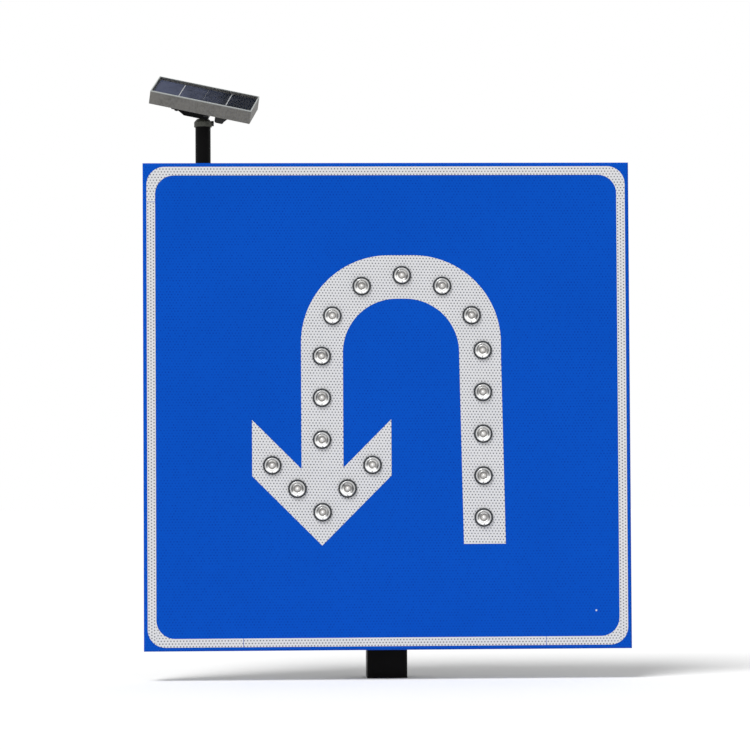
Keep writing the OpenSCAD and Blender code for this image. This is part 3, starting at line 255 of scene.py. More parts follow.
for number in range(1, LENSES + 1):
    node = f"led_lens_{number:02d}"
    low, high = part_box(node)
    clear, shader = new_finish(
        f"moulded clear polycarbonate {number:02d}", LENS_BRIGHT, 0.12, metallic=0.25, ior=1.585)
    shader.inputs["Coat Weight"].default_value = 0.6
    shader.inputs["Coat Roughness"].default_value = 0.04
    place = add(clear, "ShaderNodeTexCoord", {}).outputs["Object"]
    centred = add(clear, "ShaderNodeVectorMath", {
        0: place, 1: ((low + high) / 2).to_tuple()}, operation="SUBTRACT").outputs[0]
    flat = add(clear, "ShaderNodeVectorMath", {
        0: centred, 1: (1, 0, 1)}, operation="MULTIPLY").outputs[0]
    radius = add(clear, "ShaderNodeVectorMath", {0: flat}, operation="LENGTH").outputs["Value"]
    # Rings: painted highlight and shade of the steps on the lens, as grey levels from its middle
    # to its edge.
    share = add(clear, "ShaderNodeMath", {0: radius, 1: LENS_RADIUS}, operation="DIVIDE")
    painted_rings = add(clear, "ShaderNodeValToRGB", {"Fac": share.outputs[0]})
    steps = painted_rings.color_ramp.elements
    steps.remove(steps[1])
    steps[0].color = linear(LENS_PAINTED_RINGS[0][1])
    for ring_radius, colour in LENS_PAINTED_RINGS[1:]:
        steps.new(ring_radius * mm / LENS_RADIUS).color = linear(colour)
    # Grey patches of painted reflection at the sides of the well, turned a little on each lens.
    way = add(clear, "ShaderNodeVectorMath", {0: flat}, operation="NORMALIZE")
    turned_way = add(clear, "ShaderNodeVectorRotate", {
        "Vector": way.outputs[0], "Angle": math.radians(moulding.uniform(-25, 25))},
        rotation_type="Y_AXIS")
    parts = add(clear, "ShaderNodeSeparateXYZ", {"Vector": turned_way.outputs[0]})
    upward = parts.outputs["Z"]
    well = add(clear, "ShaderNodeMapRange", {
        "Value": radius, "From Min": WELL_EDGE[0], "From Max": WELL_EDGE[1]},
        interpolation_type="SMOOTHSTEP").outputs["Result"]
    rim = add(clear, "ShaderNodeMapRange", {
        "Value": radius, "From Min": RIM_EDGE[0], "From Max": RIM_EDGE[1],
        "To Min": 1.0, "To Max": 0.0}, interpolation_type="SMOOTHSTEP")
    level = add(clear, "ShaderNodeMath", {
        0: upward, 1: moulding.uniform(0.05, 0.4)}, operation="SUBTRACT")
    height = add(clear, "ShaderNodeMath", {0: level.outputs[0]}, operation="ABSOLUTE")
    sides = add(clear, "ShaderNodeMapRange", {
        "Value": height.outputs[0], "From Min": 0.7, "From Max": 0.15,
        "To Min": 0.0, "To Max": moulding.uniform(0.6, 1.0)}, interpolation_type="SMOOTHSTEP")
    patch = add(clear, "ShaderNodeMath", {0: well, 1: rim.outputs["Result"]}, operation="MULTIPLY")
    patch = add(clear, "ShaderNodeMath", {
        0: patch.outputs[0], 1: sides.outputs["Result"]}, operation="MULTIPLY")
    # Smoky streaks, the painted light of a lit crescent low in the well, and the mark of the
    # mould's gate.
    ripple = add(clear, "ShaderNodeTexNoise", {
        "Vector": centred, "Scale": 1 / RIPPLE, "Detail": 3.0, "W": float(number)},
        noise_dimensions="4D")
    streak = add(clear, "ShaderNodeMapRange", {
        "Value": ripple.outputs["Fac"], "From Min": 0.4, "From Max": 0.7,
        "To Min": 0.0, "To Max": moulding.uniform(0.05, 0.45)})
    below = add(clear, "ShaderNodeMapRange", {
        "Value": upward, "From Min": -0.3, "From Max": -0.65}, interpolation_type="SMOOTHSTEP")
    painted_light_crescent = add(clear, "ShaderNodeMath", {
        0: well, 1: below.outputs["Result"]}, operation="MULTIPLY")
    gate = add(clear, "ShaderNodeVectorMath", {
        0: flat, 1: (moulding.uniform(-0.6, 0.6) * mm, 0, -GATE_DOWN)}, operation="DISTANCE")
    mark = add(clear, "ShaderNodeMapRange", {
        "Value": gate.outputs["Value"], "From Min": GATE_EDGE[0], "From Max": GATE_EDGE[1]})
    # Over the painted rings go the patches of painted reflection, smoke, the painted lit crescent
    # and the gate mark.
    coated(clear, shader, painted_rings.outputs["Color"], (patch.outputs[0], LENS_PAINTED_REFLECTION),
           (streak.outputs["Result"], LENS_SMOKE), (painted_light_crescent.outputs[0], LENS_PAINTED_LIGHT),
           (mark.outputs["Result"], GATE_GREY))
    dress(node, clear)

# Seals, nuts and emitters: a moulded EPDM ring under each lens flange, a nylon nut behind
# the tray, and a clear resin emitter on a round board. Rubber is dull and dusty, nylon a
# little shinier, with the faint grain of its mould, and resin glossy.
RUBBER = "#292b2e"
RUBBER_DUST = "#3d4044"
DUST_PATCH = 3 * mm
NYLON = "#161616"
MOULD_GRAIN = 0.4 * mm
RESIN = "#e9e7d8"
RESIN_PATCH = 2 * mm


def mottled(finish, shader, place, scale, detail, first, second):
    """A colour that drifts between two, in clouds of this scale."""
    clouds = add(finish, "ShaderNodeTexNoise", {
        "Vector": place, "Scale": scale, "Detail": detail})
    coated(finish, shader, first, (clouds.outputs["Fac"], second))


def grained(finish, shader, place, grain, strength, depth, roughness=0.5):
    """A surface raised in grains of this size, as a mould or a spray gives it."""
    grains = add(finish, "ShaderNodeTexNoise", {
        "Vector": place, "Scale": 1 / grain, "Detail": 2.0, "Roughness": roughness})
    raised = add(finish, "ShaderNodeBump", {
        "Height": grains.outputs["Fac"], "Strength": strength, "Distance": depth})
    feed(finish, shader, "Normal", raised.outputs["Normal"])


def uneven_sheen(finish, shader, patch, low, high, detail=2.0):
    """A roughness that drifts between two values, in patches of this size."""
    place = add(finish, "ShaderNodeTexCoord", {}).outputs["Object"]
    clouds = add(finish, "ShaderNodeTexNoise", {
        "Vector": place, "Scale": 1 / patch, "Detail": detail})
    sheen = add(finish, "ShaderNodeMapRange", {
        "Value": clouds.outputs["Fac"], "To Min": low, "To Max": high})
    feed(finish, shader, "Roughness", sheen.outputs["Result"])


rubber_finish, shader = new_finish("moulded EPDM rubber", RUBBER, 0.6, ior=1.52)
shader.inputs["Specular IOR Level"].default_value = 0.2
place = add(rubber_finish, "ShaderNodeTexCoord", {}).outputs["Object"]
mottled(rubber_finish, shader, place, 1 / DUST_PATCH, 3.0, RUBBER, RUBBER_DUST)
for node in ("led_seals", "box_gasket", "wire_grommet"):
    dress(node, rubber_finish)

nylon_finish, shader = new_finish("moulded black nylon", NYLON, 0.45, ior=1.53)
place = add(nylon_finish, "ShaderNodeTexCoord", {}).outputs["Object"]
grained(nylon_finish, shader, place, MOULD_GRAIN, 0.2, 0.03 * mm)
for node in ("led_nuts", "clamp_screw", "panel_gland"):
    dress(node, nylon_finish)

resin_finish, shader = new_finish("cast clear epoxy resin", RESIN, 0.15, ior=1.55)
uneven_sheen(resin_finish, shader, RESIN_PATCH, 0.1, 0.25)
dress("led_emitters", resin_finish)

# Back cover: a flat sheet of 1.2 mm aluminium with rounded corners, screwed to the tray's
# flange. Left as it came from the mill, it has the same rolling lines, and a few long
# scratches from handling.
COVER_METAL = "#aeb1b4"
COVER_PALE = "#b9bbbd"
COVER_DULL = "#a0a4a8"
COVER_LINE = 0.5 * mm
SCRATCH_DEPTH = 0.03 * mm

cover_finish, shader = new_finish("mill finish aluminium cover", COVER_METAL, 0.42, metallic=1.0)
place = add(cover_finish, "ShaderNodeTexCoord", {}).outputs["Object"]
mottled(cover_finish, shader, place, 7.0, 4.0, COVER_PALE, COVER_DULL)
along = add(cover_finish, "ShaderNodeMapping", {"Vector": place, "Scale": (1, 1, 0.02)})
lines = add(cover_finish, "ShaderNodeTexNoise", {
    "Vector": along.outputs["Vector"], "Scale": 1 / COVER_LINE, "Detail": 3.0}).outputs["Fac"]
sheen = add(cover_finish, "ShaderNodeMapRange", {
    "Value": lines, "From Min": 0.3, "From Max": 0.7, "To Min": 0.34, "To Max": 0.52})
feed(cover_finish, shader, "Roughness", sheen.outputs["Result"])
scratch = add(cover_finish, "ShaderNodeTexWave", {
    "Vector": place, "Scale": 5.0, "Distortion": 14.0, "Detail": 2.0})
fine = add(cover_finish, "ShaderNodeMapRange", {
    "Value": scratch.outputs["Fac"], "From Min": 0.985, "From Max": 1.0,
    "To Min": 0.0, "To Max": 0.6})
height = add(cover_finish, "ShaderNodeMath", {
    0: lines, 1: fine.outputs["Result"]}, operation="SUBTRACT")
raised = add(cover_finish, "ShaderNodeBump", {
    "Height": height.outputs[0], "Strength": 0.2, "Distance": SCRATCH_DEPTH})
feed(cover_finish, shader, "Normal", raised.outputs["Normal"])
dress("back_cover", cover_finish)

# Pan-head screws: cold-formed stainless steel with a cross recess punched into the head.
# The same form holds the cover, the box and the mast's clips, and a smaller one the lid.
# Each stops at its own angle, and the forming leaves a slightly uneven shine.
STAINLESS = "#c3c3c0"
STAINLESS_PATCH = 1.5 * mm
COVER_HEAD = (3.8 * mm, 2.375 * mm)
LID_HEAD = (2.8 * mm, 1.68 * mm)
SCREW_REACH = 9 * mm
PAN_DOME = [(1, 0), (1, 0.45), (0.93, 0.75), (0.76, 0.93), (0.5, 1)]
CROSS_ARM = (1.15, 0.26, 0.9)
driving = random.Random(5)

stainless_finish, shader = new_finish("cold formed stainless steel", STAINLESS, 0.3, metallic=1.0)
uneven_sheen(stainless_finish, shader, STAINLESS_PATCH, 0.22, 0.42)


def turned(profile, sides):
    """A solid of revolution on +Z through each (radius, height), closed at both ends."""
    radius, height = profile[0]
    bpy.ops.object.select_all(action="DESELECT")
    bpy.ops.mesh.primitive_circle_add(
        vertices=sides, radius=radius, fill_type="NGON", location=(0, 0, height))
    bpy.ops.object.transform_apply(location=True, rotation=False, scale=False)
    bpy.ops.object.mode_set(mode="EDIT")
    for next_radius, next_height in profile[1:]:
        bpy.ops.mesh.extrude_region_move(
            TRANSFORM_OT_translate={"value": (0, 0, next_height - height)})
        grow = next_radius / radius
        bpy.ops.transform.resize(value=(grow, grow, 1), center_override=(0, 0, next_height))
        radius, height = next_radius, next_height
    bpy.ops.mesh.select_all(action="SELECT")
    bpy.ops.mesh.normals_make_consistent(inside=False)
    bpy.ops.object.mode_set(mode="OBJECT")
    return bpy.context.object


def block(size, middle, turn=0):
    """A square-edged block, turned about Z by so many degrees."""
    bpy.ops.object.select_all(action="DESELECT")
    bpy.ops.mesh.primitive_cube_add(
        size=1, location=middle, rotation=(0, 0, math.radians(turn)))
    bpy.context.object.scale = size
    bpy.ops.object.transform_apply(location=True, rotation=True, scale=True)
    return bpy.context.object


def cut_away(piece, cutter, operation="DIFFERENCE"):
    """Takes the cutter's shape out of the piece, and the cutter away."""
    modifier = piece.modifiers.new("cut", "BOOLEAN")
    modifier.operation = operation
    modifier.solver = "EXACT"
    modifier.object = cutter
    bpy.context.view_layer.objects.active = piece
    bpy.ops.object.modifier_apply(modifier="cut")
    bpy.data.objects.remove(cutter)
    return piece


def smoothed(piece, degrees):
    """The piece shaded smooth, apart from edges sharper than this angle."""
    bpy.ops.object.select_all(action="DESELECT")
    piece.select_set(True)
    bpy.context.view_layer.objects.active = piece
    bpy.ops.object.shade_smooth_by_angle(angle=math.radians(degrees))
    return piece


def pan_head(radius, height):
    """A pan head with its seat at z = 0, domed on top and punched with a cross."""
    head = turned([(radius * out, height * up) for out, up in PAN_DOME], 32)
    for turn in (0, 90):
        size = (radius * CROSS_ARM[0], radius * CROSS_ARM[1], height * CROSS_ARM[2])
        punch = block(size, (0, 0, height * 1.05), turn)
        bpy.ops.object.mode_set(mode="EDIT")
        mesh = bmesh.from_edit_mesh(punch.data)
        for face in mesh.faces:
            face.select_set(face.normal.z < -0.9)
        bmesh.update_edit_mesh(punch.data)
        bpy.ops.transform.resize(value=(0.55, 0.55, 1), center_override=(0, 0, height * 0.6))
        bpy.ops.object.mode_set(mode="OBJECT")
        cut_away(head, punch)
    return smoothed(head, 28)


def solids_of(node, reach):
    """The boxes of a node's separate solids, told apart by how far they lie in X and Z."""
    boxes = []
    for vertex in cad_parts[node].data.vertices:
        for box in boxes:
            if abs(vertex.co.x - box[2].x) < reach and abs(vertex.co.z - box[2].z) < reach:
                box[0] = Vector(map(min, box[0], vertex.co))
                box[1] = Vector(map(max, box[1], vertex.co))
                break
        else:
            boxes.append([vertex.co.copy(), vertex.co.copy(), vertex.co.copy()])
    return [(low, high) for low, high, first in boxes]


def seats_of(node, reach, head=None):
    """Where each solid of a node seats: under its head, or at its front end if it has none."""
    seats = []
    for low, high in solids_of(node, reach):
        depth = low.y if head is None else high.y - head
        seats.append(((low.x + high.x) / 2, depth, (low.z + high.z) / 2))
    return seats


def copies(piece, places, facing, spin=None):
    """A copy of the piece at every place, joined into one mesh at the origin."""
    made = []
    for place in places:
        copy = piece.copy()
        copy.data = piece.data.copy()
        bpy.context.collection.objects.link(copy)
        angle = spin.uniform(0, 2 * math.pi) if spin else 0
        copy.matrix_world = Matrix.Translation(place) @ facing @ Matrix.Rotation(angle, 4, "Z")
        made.append(copy)
    bpy.data.objects.remove(piece)
    bpy.ops.object.select_all(action="DESELECT")
    for copy in made:
        copy.select_set(True)
    bpy.context.view_layer.objects.active = made[0]
    bpy.ops.object.transform_apply(location=True, rotation=True, scale=True)
    if len(made) > 1:
        bpy.ops.object.join()
    return bpy.context.object


def hand_over(piece, name, body, slot, finish, *nodes):
    """Names and dresses a finished piece, puts it in its body and hides the CAD nodes it stands
    for.
    """
    piece.name = name
    piece.data.name = name
    piece.data.materials.clear()
    piece.data.materials.append(finish)
    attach(piece, body)
    if nodes:
        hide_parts(*nodes)


rearwards = Matrix.Rotation(math.radians(-90), 4, "X")
for node, head in (("cover_screws", COVER_HEAD), ("fixing_screws", COVER_HEAD),
                   ("lid_screws", LID_HEAD)):
    heads = copies(pan_head(*head), seats_of(node, SCREW_REACH, head[1]), rearwards, driving)
    hand_over(heads, node.replace("screws", "screw_heads"), "sign", "stainless",
              stainless_finish, node)
dress("stud_nut", stainless_finish)

# Rails: extruded aluminium channel, slotted for bolt heads and riveted through its two
# flanges. The die leaves fine straight lines along the length, some duller than others.
RAIL_METAL = "#a9abad"
RAIL_DULL = "#9a9c9f"
RAIL_PALE = "#b5b7b9"
DIE_LINE = 0.8 * mm
DIE_DEPTH = 0.04 * mm

rail_finish, shader = new_finish("extruded aluminium", RAIL_METAL, 0.4, metallic=1.0)
place = add(rail_finish, "ShaderNodeTexCoord", {}).outputs["Object"]
along = add(rail_finish, "ShaderNodeMapping", {"Vector": place, "Scale": (0.01, 1, 1)})
lines = add(rail_finish, "ShaderNodeTexNoise", {
    "Vector": along.outputs["Vector"], "Scale": 1 / DIE_LINE, "Detail": 4.0}).outputs["Fac"]
coated(rail_finish, shader, RAIL_DULL, (lines, RAIL_PALE))
raised = add(rail_finish, "ShaderNodeBump", {
    "Height": lines, "Strength": 0.3, "Distance": DIE_DEPTH})
feed(rail_finish, shader, "Normal", raised.outputs["Normal"])
for node in ("rail_upper", "rail_lower"):
    dress(node, rail_finish)

# Rivets: blind rivets of soft aluminium, pulled up on a steel pin that snaps off inside the
# head. The domed flange is smooth, with a hollow in its middle and the pin's dull end in it.
RIVET_METAL = "#c0c2c4"
RIVET_PATCH = 2 * mm
RIVET_HEAD = (4.8 * mm, 1.56 * mm)
RIVET_DOME = [(1, 0), (0.97, 0.3), (0.8, 0.68), (0.6, 0.9), (0.42, 1), (0.34, 0.92), (0.3, 0.45)]

rivet_finish, shader = new_finish("upset aluminium rivet", RIVET_METAL, 0.33, metallic=1.0)
uneven_sheen(rivet_finish, shader, RIVET_PATCH, 0.25, 0.5, 3.0)
radius, height = RIVET_HEAD
rivet = smoothed(turned([(radius * out, height * up) for out, up in RIVET_DOME], 28), 40)
rivets = copies(rivet, seats_of("rail_rivets", SCREW_REACH, height), rearwards)
hand_over(rivets, "rail_rivet_heads", "sign", "rivet_aluminium", rivet_finish, "rail_rivets")

# Post and cap: 50 mm square steel tube, powder coated satin black, with a moulded cap
# pushed into its top. The baked coat has a fine orange-peel ripple. The cap is a shade
# duller. The mast, its clips and the panel's bracket have the same coat.
POST_BLACK = "#0e0e0e"
POST_DEEP = "#080808"
POST_WORN = "#111010"
ORANGE_PEEL = 1.4 * mm
CAP_BLACK = "#141414"
CAP_GRAIN = 0.9 * mm
CAP_DEPTH = 0.06 * mm

post_finish, shader = new_finish("satin black powder coat", POST_BLACK, 0.4)
shader.inputs["Specular IOR Level"].default_value = 0.04
place = add(post_finish, "ShaderNodeTexCoord", {}).outputs["Object"]
grained(post_finish, shader, place, ORANGE_PEEL, 0.35, 0.05 * mm, 0.4)
mottled(post_finish, shader, place, 18.0, 5.0, POST_DEEP, POST_WORN)
for node in ("post", "mast", "mast_clip_upper", "mast_clip_lower", "panel_bracket"):
    dress(node, post_finish)

cap_finish, shader = new_finish("moulded black polyethylene", CAP_BLACK, 0.5, ior=1.51)
shader.inputs["Specular IOR Level"].default_value = 0.3
place = add(cap_finish, "ShaderNodeTexCoord", {}).outputs["Object"]
grain = add(cap_finish, "ShaderNodeTexVoronoi", {
    "Vector": place, "Scale": 1 / CAP_GRAIN}, feature="SMOOTH_F1")
raised = add(cap_finish, "ShaderNodeBump", {
    "Height": grain.outputs["Distance"], "Strength": 0.25, "Distance": CAP_DEPTH})
feed(cap_finish, shader, "Normal", raised.outputs["Normal"])
for node in ("post_cap", "junction_box"):
    dress(node, cap_finish)

# Post clamps: 4 mm steel strap pressed to the post's shape and dipped in molten zinc.
# The zinc freezes in leafy crystals a centimetre or so across, each with its own grey.
ZINC = "#9da0a2"
ZINC_DULL = "#8d9092"
ZINC_PALE = "#b2b5b7"
ZINC_CRYSTAL = 9 * mm

zinc_finish, shader = new_finish("hot dip galvanised steel", ZINC, 0.45, metallic=0.9)
place = add(zinc_finish, "ShaderNodeTexCoord", {}).outputs["Object"]
crystals = add(zinc_finish, "ShaderNodeTexVoronoi", {
    "Vector": place, "Scale": 1 / ZINC_CRYSTAL, "Randomness": 1.0})
grey = add(zinc_finish, "ShaderNodeRGBToBW", {"Color": crystals.outputs["Color"]}).outputs[0]
coated(zinc_finish, shader, ZINC_DULL, (grey, ZINC_PALE))
sheen = add(zinc_finish, "ShaderNodeMapRange", {"Value": grey, "To Min": 0.34, "To Max": 0.56})
feed(zinc_finish, shader, "Roughness", sheen.outputs["Result"])
for node in ("clamp_upper", "clamp_lower"):
    dress(node, zinc_finish)

# Clamp bolts: M8 stainless bolts with a flat T head that slides in the rail, a square neck
# that keeps it from turning, and a rolled thread of 1.25 mm pitch out to the tail.
BOLT_RADIUS = 4 * mm
BOLT_REACH = 20 * mm
THREAD_PITCH = 1.25 * mm
THREAD_DEPTH = 0.6 * mm
TAIL_CHAMFER = 0.4 * mm
BOLT_HEAD = (11 * mm, 23 * mm, 4 * mm)
NECK_SIDE = 10.4 * mm
NECK_LENGTH = 2.5 * mm
NECK_LAP = 0.2 * mm
FORGED_EDGE = 0.5 * mm

low, high = solids_of("clamp_bolts", BOLT_REACH)[0]
bolt_length = high.y - low.y
head = BOLT_HEAD[2]
root = BOLT_RADIUS - THREAD_DEPTH
profile = [(root, head / 2)]
reach = head + NECK_LENGTH
while reach + THREAD_PITCH < bolt_length - THREAD_DEPTH:
    profile += [(root, reach), (BOLT_RADIUS, reach + THREAD_PITCH * 0.45),
                (BOLT_RADIUS, reach + THREAD_PITCH * 0.55)]
    reach += THREAD_PITCH
profile += [(root, reach), (root, bolt_length - TAIL_CHAMFER),
            (BOLT_RADIUS - 2 * THREAD_DEPTH, bolt_length)]
bolt = turned(profile, 24)
for size, middle in ((BOLT_HEAD, head / 2),
                     ((NECK_SIDE, NECK_SIDE, NECK_LENGTH + NECK_LAP), head + NECK_LENGTH / 2)):
    forged = block(size, (0, 0, middle))
    bpy.ops.object.mode_set(mode="EDIT")
    bpy.ops.mesh.select_all(action="SELECT")
    bpy.ops.mesh.bevel(offset=FORGED_EDGE, segments=2, affect="EDGES")
    bpy.ops.object.mode_set(mode="OBJECT")
    cut_away(bolt, forged, "UNION")
bolts = copies(smoothed(bolt, 30), seats_of("clamp_bolts", BOLT_REACH), rearwards)
hand_over(bolts, "clamp_tee_bolts", "sign", "stainless", stainless_finish, "clamp_bolts")

# Clamp nuts: M8 hexagon nuts on plain washers, 13 mm over the flats. The nut's corners are
# turned back at 30 degrees on both faces, and the washer's edge is stamped, a little rounded.
NUT_FLATS = 13 * mm
NUT_HEIGHT = 6.5 * mm
WASHER = (8.4 * mm, 1.6 * mm)
WASHER_EDGE = (0.2 * mm, 0.25 * mm)
NUT_SLACK = 0.05 * mm
NUT_MOUTH = (0.7 * mm, 0.6 * mm)


def prism(sides, radius, length, middle):
    """An upright bar with so many sides."""
    bpy.ops.object.select_all(action="DESELECT")
    bpy.ops.mesh.primitive_cylinder_add(
        vertices=sides, radius=radius, depth=length, location=middle)
    bpy.ops.object.transform_apply(location=True, rotation=True, scale=True)
    return bpy.context.object


corner = NUT_FLATS / 2 / math.cos(math.radians(30))
flat = NUT_FLATS / 2
fall = (corner - flat) * math.tan(math.radians(30))
rim, base = WASHER
top = base + NUT_HEIGHT
nut = prism(6, corner, NUT_HEIGHT, (0, 0, base + NUT_HEIGHT / 2))
chamfer = turned([(flat * 0.97, base - 0.01 * mm), (corner * 1.02, base + fall * 1.3),
                  (corner * 1.02, top - fall * 1.3), (flat * 0.97, top + 0.01 * mm)], 64)
cut_away(nut, chamfer, "INTERSECT")
washer = turned([(rim - WASHER_EDGE[0], 0), (rim, WASHER_EDGE[1]),
                 (rim, base - WASHER_EDGE[1]), (rim - WASHER_EDGE[0], base + 0.02 * mm)], 48)
cut_away(nut, washer, "UNION")
bore = turned([(BOLT_RADIUS + NUT_SLACK, -1 * mm), (BOLT_RADIUS + NUT_SLACK, top - NUT_MOUTH[1]),
               (BOLT_RADIUS + NUT_MOUTH[0], top + 0.1 * mm),
               (BOLT_RADIUS + NUT_MOUTH[0], top + 1 * mm)], 48)
cut_away(nut, bore)
nuts = copies(smoothed(nut, 25), seats_of("clamp_nuts", BOLT_REACH), rearwards)
hand_over(nuts, "clamp_hex_nuts", "sign", "stainless", stainless_finish, "clamp_nuts")

# Control box: tub and lid injection moulded in dark grey polycarbonate, spark-eroded mould,
# so the faces have an even fine grain. The gasket shows as a thin line between them.
BOX_GREY = "#2b2b2d"
BOX_DEEP = "#262628"
BOX_FADED = "#313133"
SPARK_GRAIN = 0.7 * mm
SPARK_DEPTH = 0.06 * mm

box_finish, shader = new_finish("spark grained polycarbonate", BOX_GREY, 0.5, ior=1.585)
shader.inputs["Specular IOR Level"].default_value = 0.35
place = add(box_finish, "ShaderNodeTexCoord", {}).outputs["Object"]
grain = add(box_finish, "ShaderNodeTexVoronoi", {
    "Vector": place, "Scale": 1 / SPARK_GRAIN}, feature="SMOOTH_F1")
raised = add(box_finish, "ShaderNodeBump", {
    "Height": grain.outputs["Distance"], "Strength": 0.3, "Distance": SPARK_DEPTH})
feed(box_finish, shader, "Normal", raised.outputs["Normal"])
mottled(box_finish, shader, place, 25.0, 4.0, BOX_DEEP, BOX_FADED)
for node in ("control_box", "box_lid"):
    dress(node, box_finish)

# Inside the box: three round cells in printed shrink sleeve, and the charge controller on a
# green glass-fibre board. Nothing of them shows with the lid on.
SLEEVE_BLUE = "#33669e"
SLEEVE_RIPPLE = 4 * mm
BOARD_GREEN = "#1a5a38"
BOARD_PALE = "#1d6440"
TRACK_GREEN = "#2c7a50"
TRACK_PITCH = 12 * mm

sleeve_finish, shader = new_finish("shrink sleeved cell", SLEEVE_BLUE, 0.35, ior=1.54)
place = add(sleeve_finish, "ShaderNodeTexCoord", {}).outputs["Object"]
grained(sleeve_finish, shader, place, SLEEVE_RIPPLE, 0.2, 0.1 * mm)
dress("battery_cells", sleeve_finish)

board_finish, shader = new_finish("green solder mask on glass fibre", BOARD_GREEN, 0.3, ior=1.55)
place = add(board_finish, "ShaderNodeTexCoord", {}).outputs["Object"]
tracks = add(board_finish, "ShaderNodeTexBrick", {
    "Vector": place, "Color1": linear(BOARD_GREEN), "Color2": linear(BOARD_PALE),
    "Mortar": linear(TRACK_GREEN), "Scale": 1 / TRACK_PITCH})
feed(board_finish, shader, "Base Color", tracks.outputs["Color"])
dress("controller_board", board_finish)

# Cable gland on the box: moulded nylon, a hexagon that seats on the box and a domed nut
# with ribs for the fingers, screwed down over a rubber membrane that closes the mouth.
GLAND_HEX = 16 * mm
GLAND_BASE = 4 * mm
GLAND_HEIGHT = 20 * mm
GLAND_DOME = [(1, 14), (0.97, 16), (0.88, 17.6), (0.72, 19), (0.58, 19.8), (0.48, 20),
              (0.44, 19.6), (0.42, 17)]
GLAND_LAP = 0.5 * mm
GLAND_STEP = 0.6 * mm
GLAND_RIBS = 12
RIB_HEIGHT = 0.5 * mm
RIB_SLOPE = 0.15 * mm

low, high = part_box("box_gland")
across = GLAND_HEX / 2 / math.cos(math.radians(30))
gland = prism(6, across, GLAND_BASE, (0, 0, GLAND_BASE / 2))
barrel = GLAND_HEX / 2 - GLAND_STEP - RIB_HEIGHT
profile = [(barrel, GLAND_BASE - GLAND_LAP)]
profile += [(barrel * out, up * mm) for out, up in GLAND_DOME]
dome = turned(profile, 4 * GLAND_RIBS)
bpy.ops.object.mode_set(mode="EDIT")
mesh = bmesh.from_edit_mesh(dome.data)
for face in mesh.faces:
    middle = face.calc_center_median()
    turn = math.degrees(math.atan2(middle.y, middle.x)) % (360 / GLAND_RIBS)
    on_barrel = abs(face.normal.z) < 0.1 and middle.z < GLAND_DOME[0][1] * mm
    face.select_set(on_barrel and turn < 180 / GLAND_RIBS)
bmesh.update_edit_mesh(dome.data)
bpy.ops.mesh.inset(thickness=RIB_SLOPE, depth=RIB_HEIGHT, use_even_offset=True)
bpy.ops.object.mode_set(mode="OBJECT")
cut_away(gland, dome, "UNION")
seat = ((low.x + high.x) / 2, (low.y + high.y) / 2, high.z - GLAND_HEIGHT)
gland = copies(smoothed(gland, 30), [seat], Matrix.Identity(4))
hand_over(gland, "box_gland_ribbed", "sign", "black_nylon", nylon_finish, "box_gland")

# Swivel: socket and ball stud die-cast in zinc and sprayed a dull olive grey. The spray
# is thin and slightly rough, and its tone drifts a little over each casting.
OLIVE = "#4a4b44"
OLIVE_DEEP = "#3b3c36"
OLIVE_PALE = "#5a5b53"
OLIVE_PATCH = 5 * mm
SPRAY_GRAIN = 0.5 * mm

olive_finish, shader = new_finish("sprayed olive zinc casting", OLIVE, 0.55, metallic=0.2)
shader.inputs["Specular IOR Level"].default_value = 0.3
place = add(olive_finish, "ShaderNodeTexCoord", {}).outputs["Object"]
mottled(olive_finish, shader, place, 1 / OLIVE_PATCH, 4.0, OLIVE_DEEP, OLIVE_PALE)
grained(olive_finish, shader, place, SPRAY_GRAIN, 0.3, 0.05 * mm)
for node in ("swivel_socket", "ball_stud"):
    dress(node, olive_finish)

# Bracket screws: steel, blackened in a hot salt bath and oiled, driven up through the
# bracket into the panel's foot. The heads are nearly black, with a soft sheen.
BLACKENED = "#1d1d1e"
OIL_PATCH = 1.5 * mm

black_steel_finish, shader = new_finish("blackened steel", BLACKENED, 0.4, metallic=0.6)
uneven_sheen(black_steel_finish, shader, OIL_PATCH, 0.3, 0.5)
dress("bracket_screws", black_steel_finish)

# Panel frame: extruded aluminium, mitred at the corners, with a thin wall that ends in a
# narrow lip round the glass, a ledge under the laminate and a wide foot. It is anodised and
# weathered to a blotchy grey, stained in streaks down from the lip, and paler along the lip's top.
FRAME_GREY = "#6c6b68"
FRAME_STAIN = "#3f3e3b"
FRAME_PATCH = "#75736f"
FRAME_PALE = "#a9adab"
STREAK = 2.2 * mm
BLOTCH = 14 * mm
STAIN_DEPTH = 0.05 * mm
BALL = Vector((-226, -29.4, 690)) * mm
PANEL_TURN = (Matrix.Rotation(math.radians(15), 4, "Z")
              @ Matrix.Rotation(math.radians(30.5), 4, "X")
              @ Matrix.Rotation(math.radians(-25), 4, "Z"))
PANEL_MIDDLE = (-2.5 * mm, 2 * mm)
PANEL_SIZE = (128 * mm, 51 * mm)
FOOT_Z = 22 * mm
LEDGE_Z = 33.5 * mm
BACKSHEET_Z = 34.7 * mm
LIP_TOP = 39.4 * mm
LIP_PALE_BAND = (1.6 * mm, 0.6 * mm)
SHEET = 1.2 * mm
WALL = 1.5 * mm
LEDGE = 3 * mm
FOOT = 8 * mm
SCREW_SPOTS = [(x * mm, y * mm) for x in (-32, 5) for y in (-19, 23)]
SCREW_HOLE = 1.6 * mm
PAST = 1 * mm


def on_panel(finish):
    """Object coordinates turned to lie along the panel, with the swivel's ball at zero."""
    place = add(finish, "ShaderNodeTexCoord", {}).outputs["Object"]
    return add(finish, "ShaderNodeMapping", {
        "Vector": place, "Location": BALL, "Rotation": PANEL_TURN.to_euler()},
        vector_type="TEXTURE").outputs["Vector"]


def slab(size, low, high, along=0):
    """A flat block in the panel's own place, between two heights over the ball."""
    middle = (PANEL_MIDDLE[0] + along, PANEL_MIDDLE[1], (low + high) / 2)
    return block((*size, high - low), middle)


def inside(rim):
    """The panel's length and width within a rim."""
    return [side - 2 * rim for side in PANEL_SIZE]


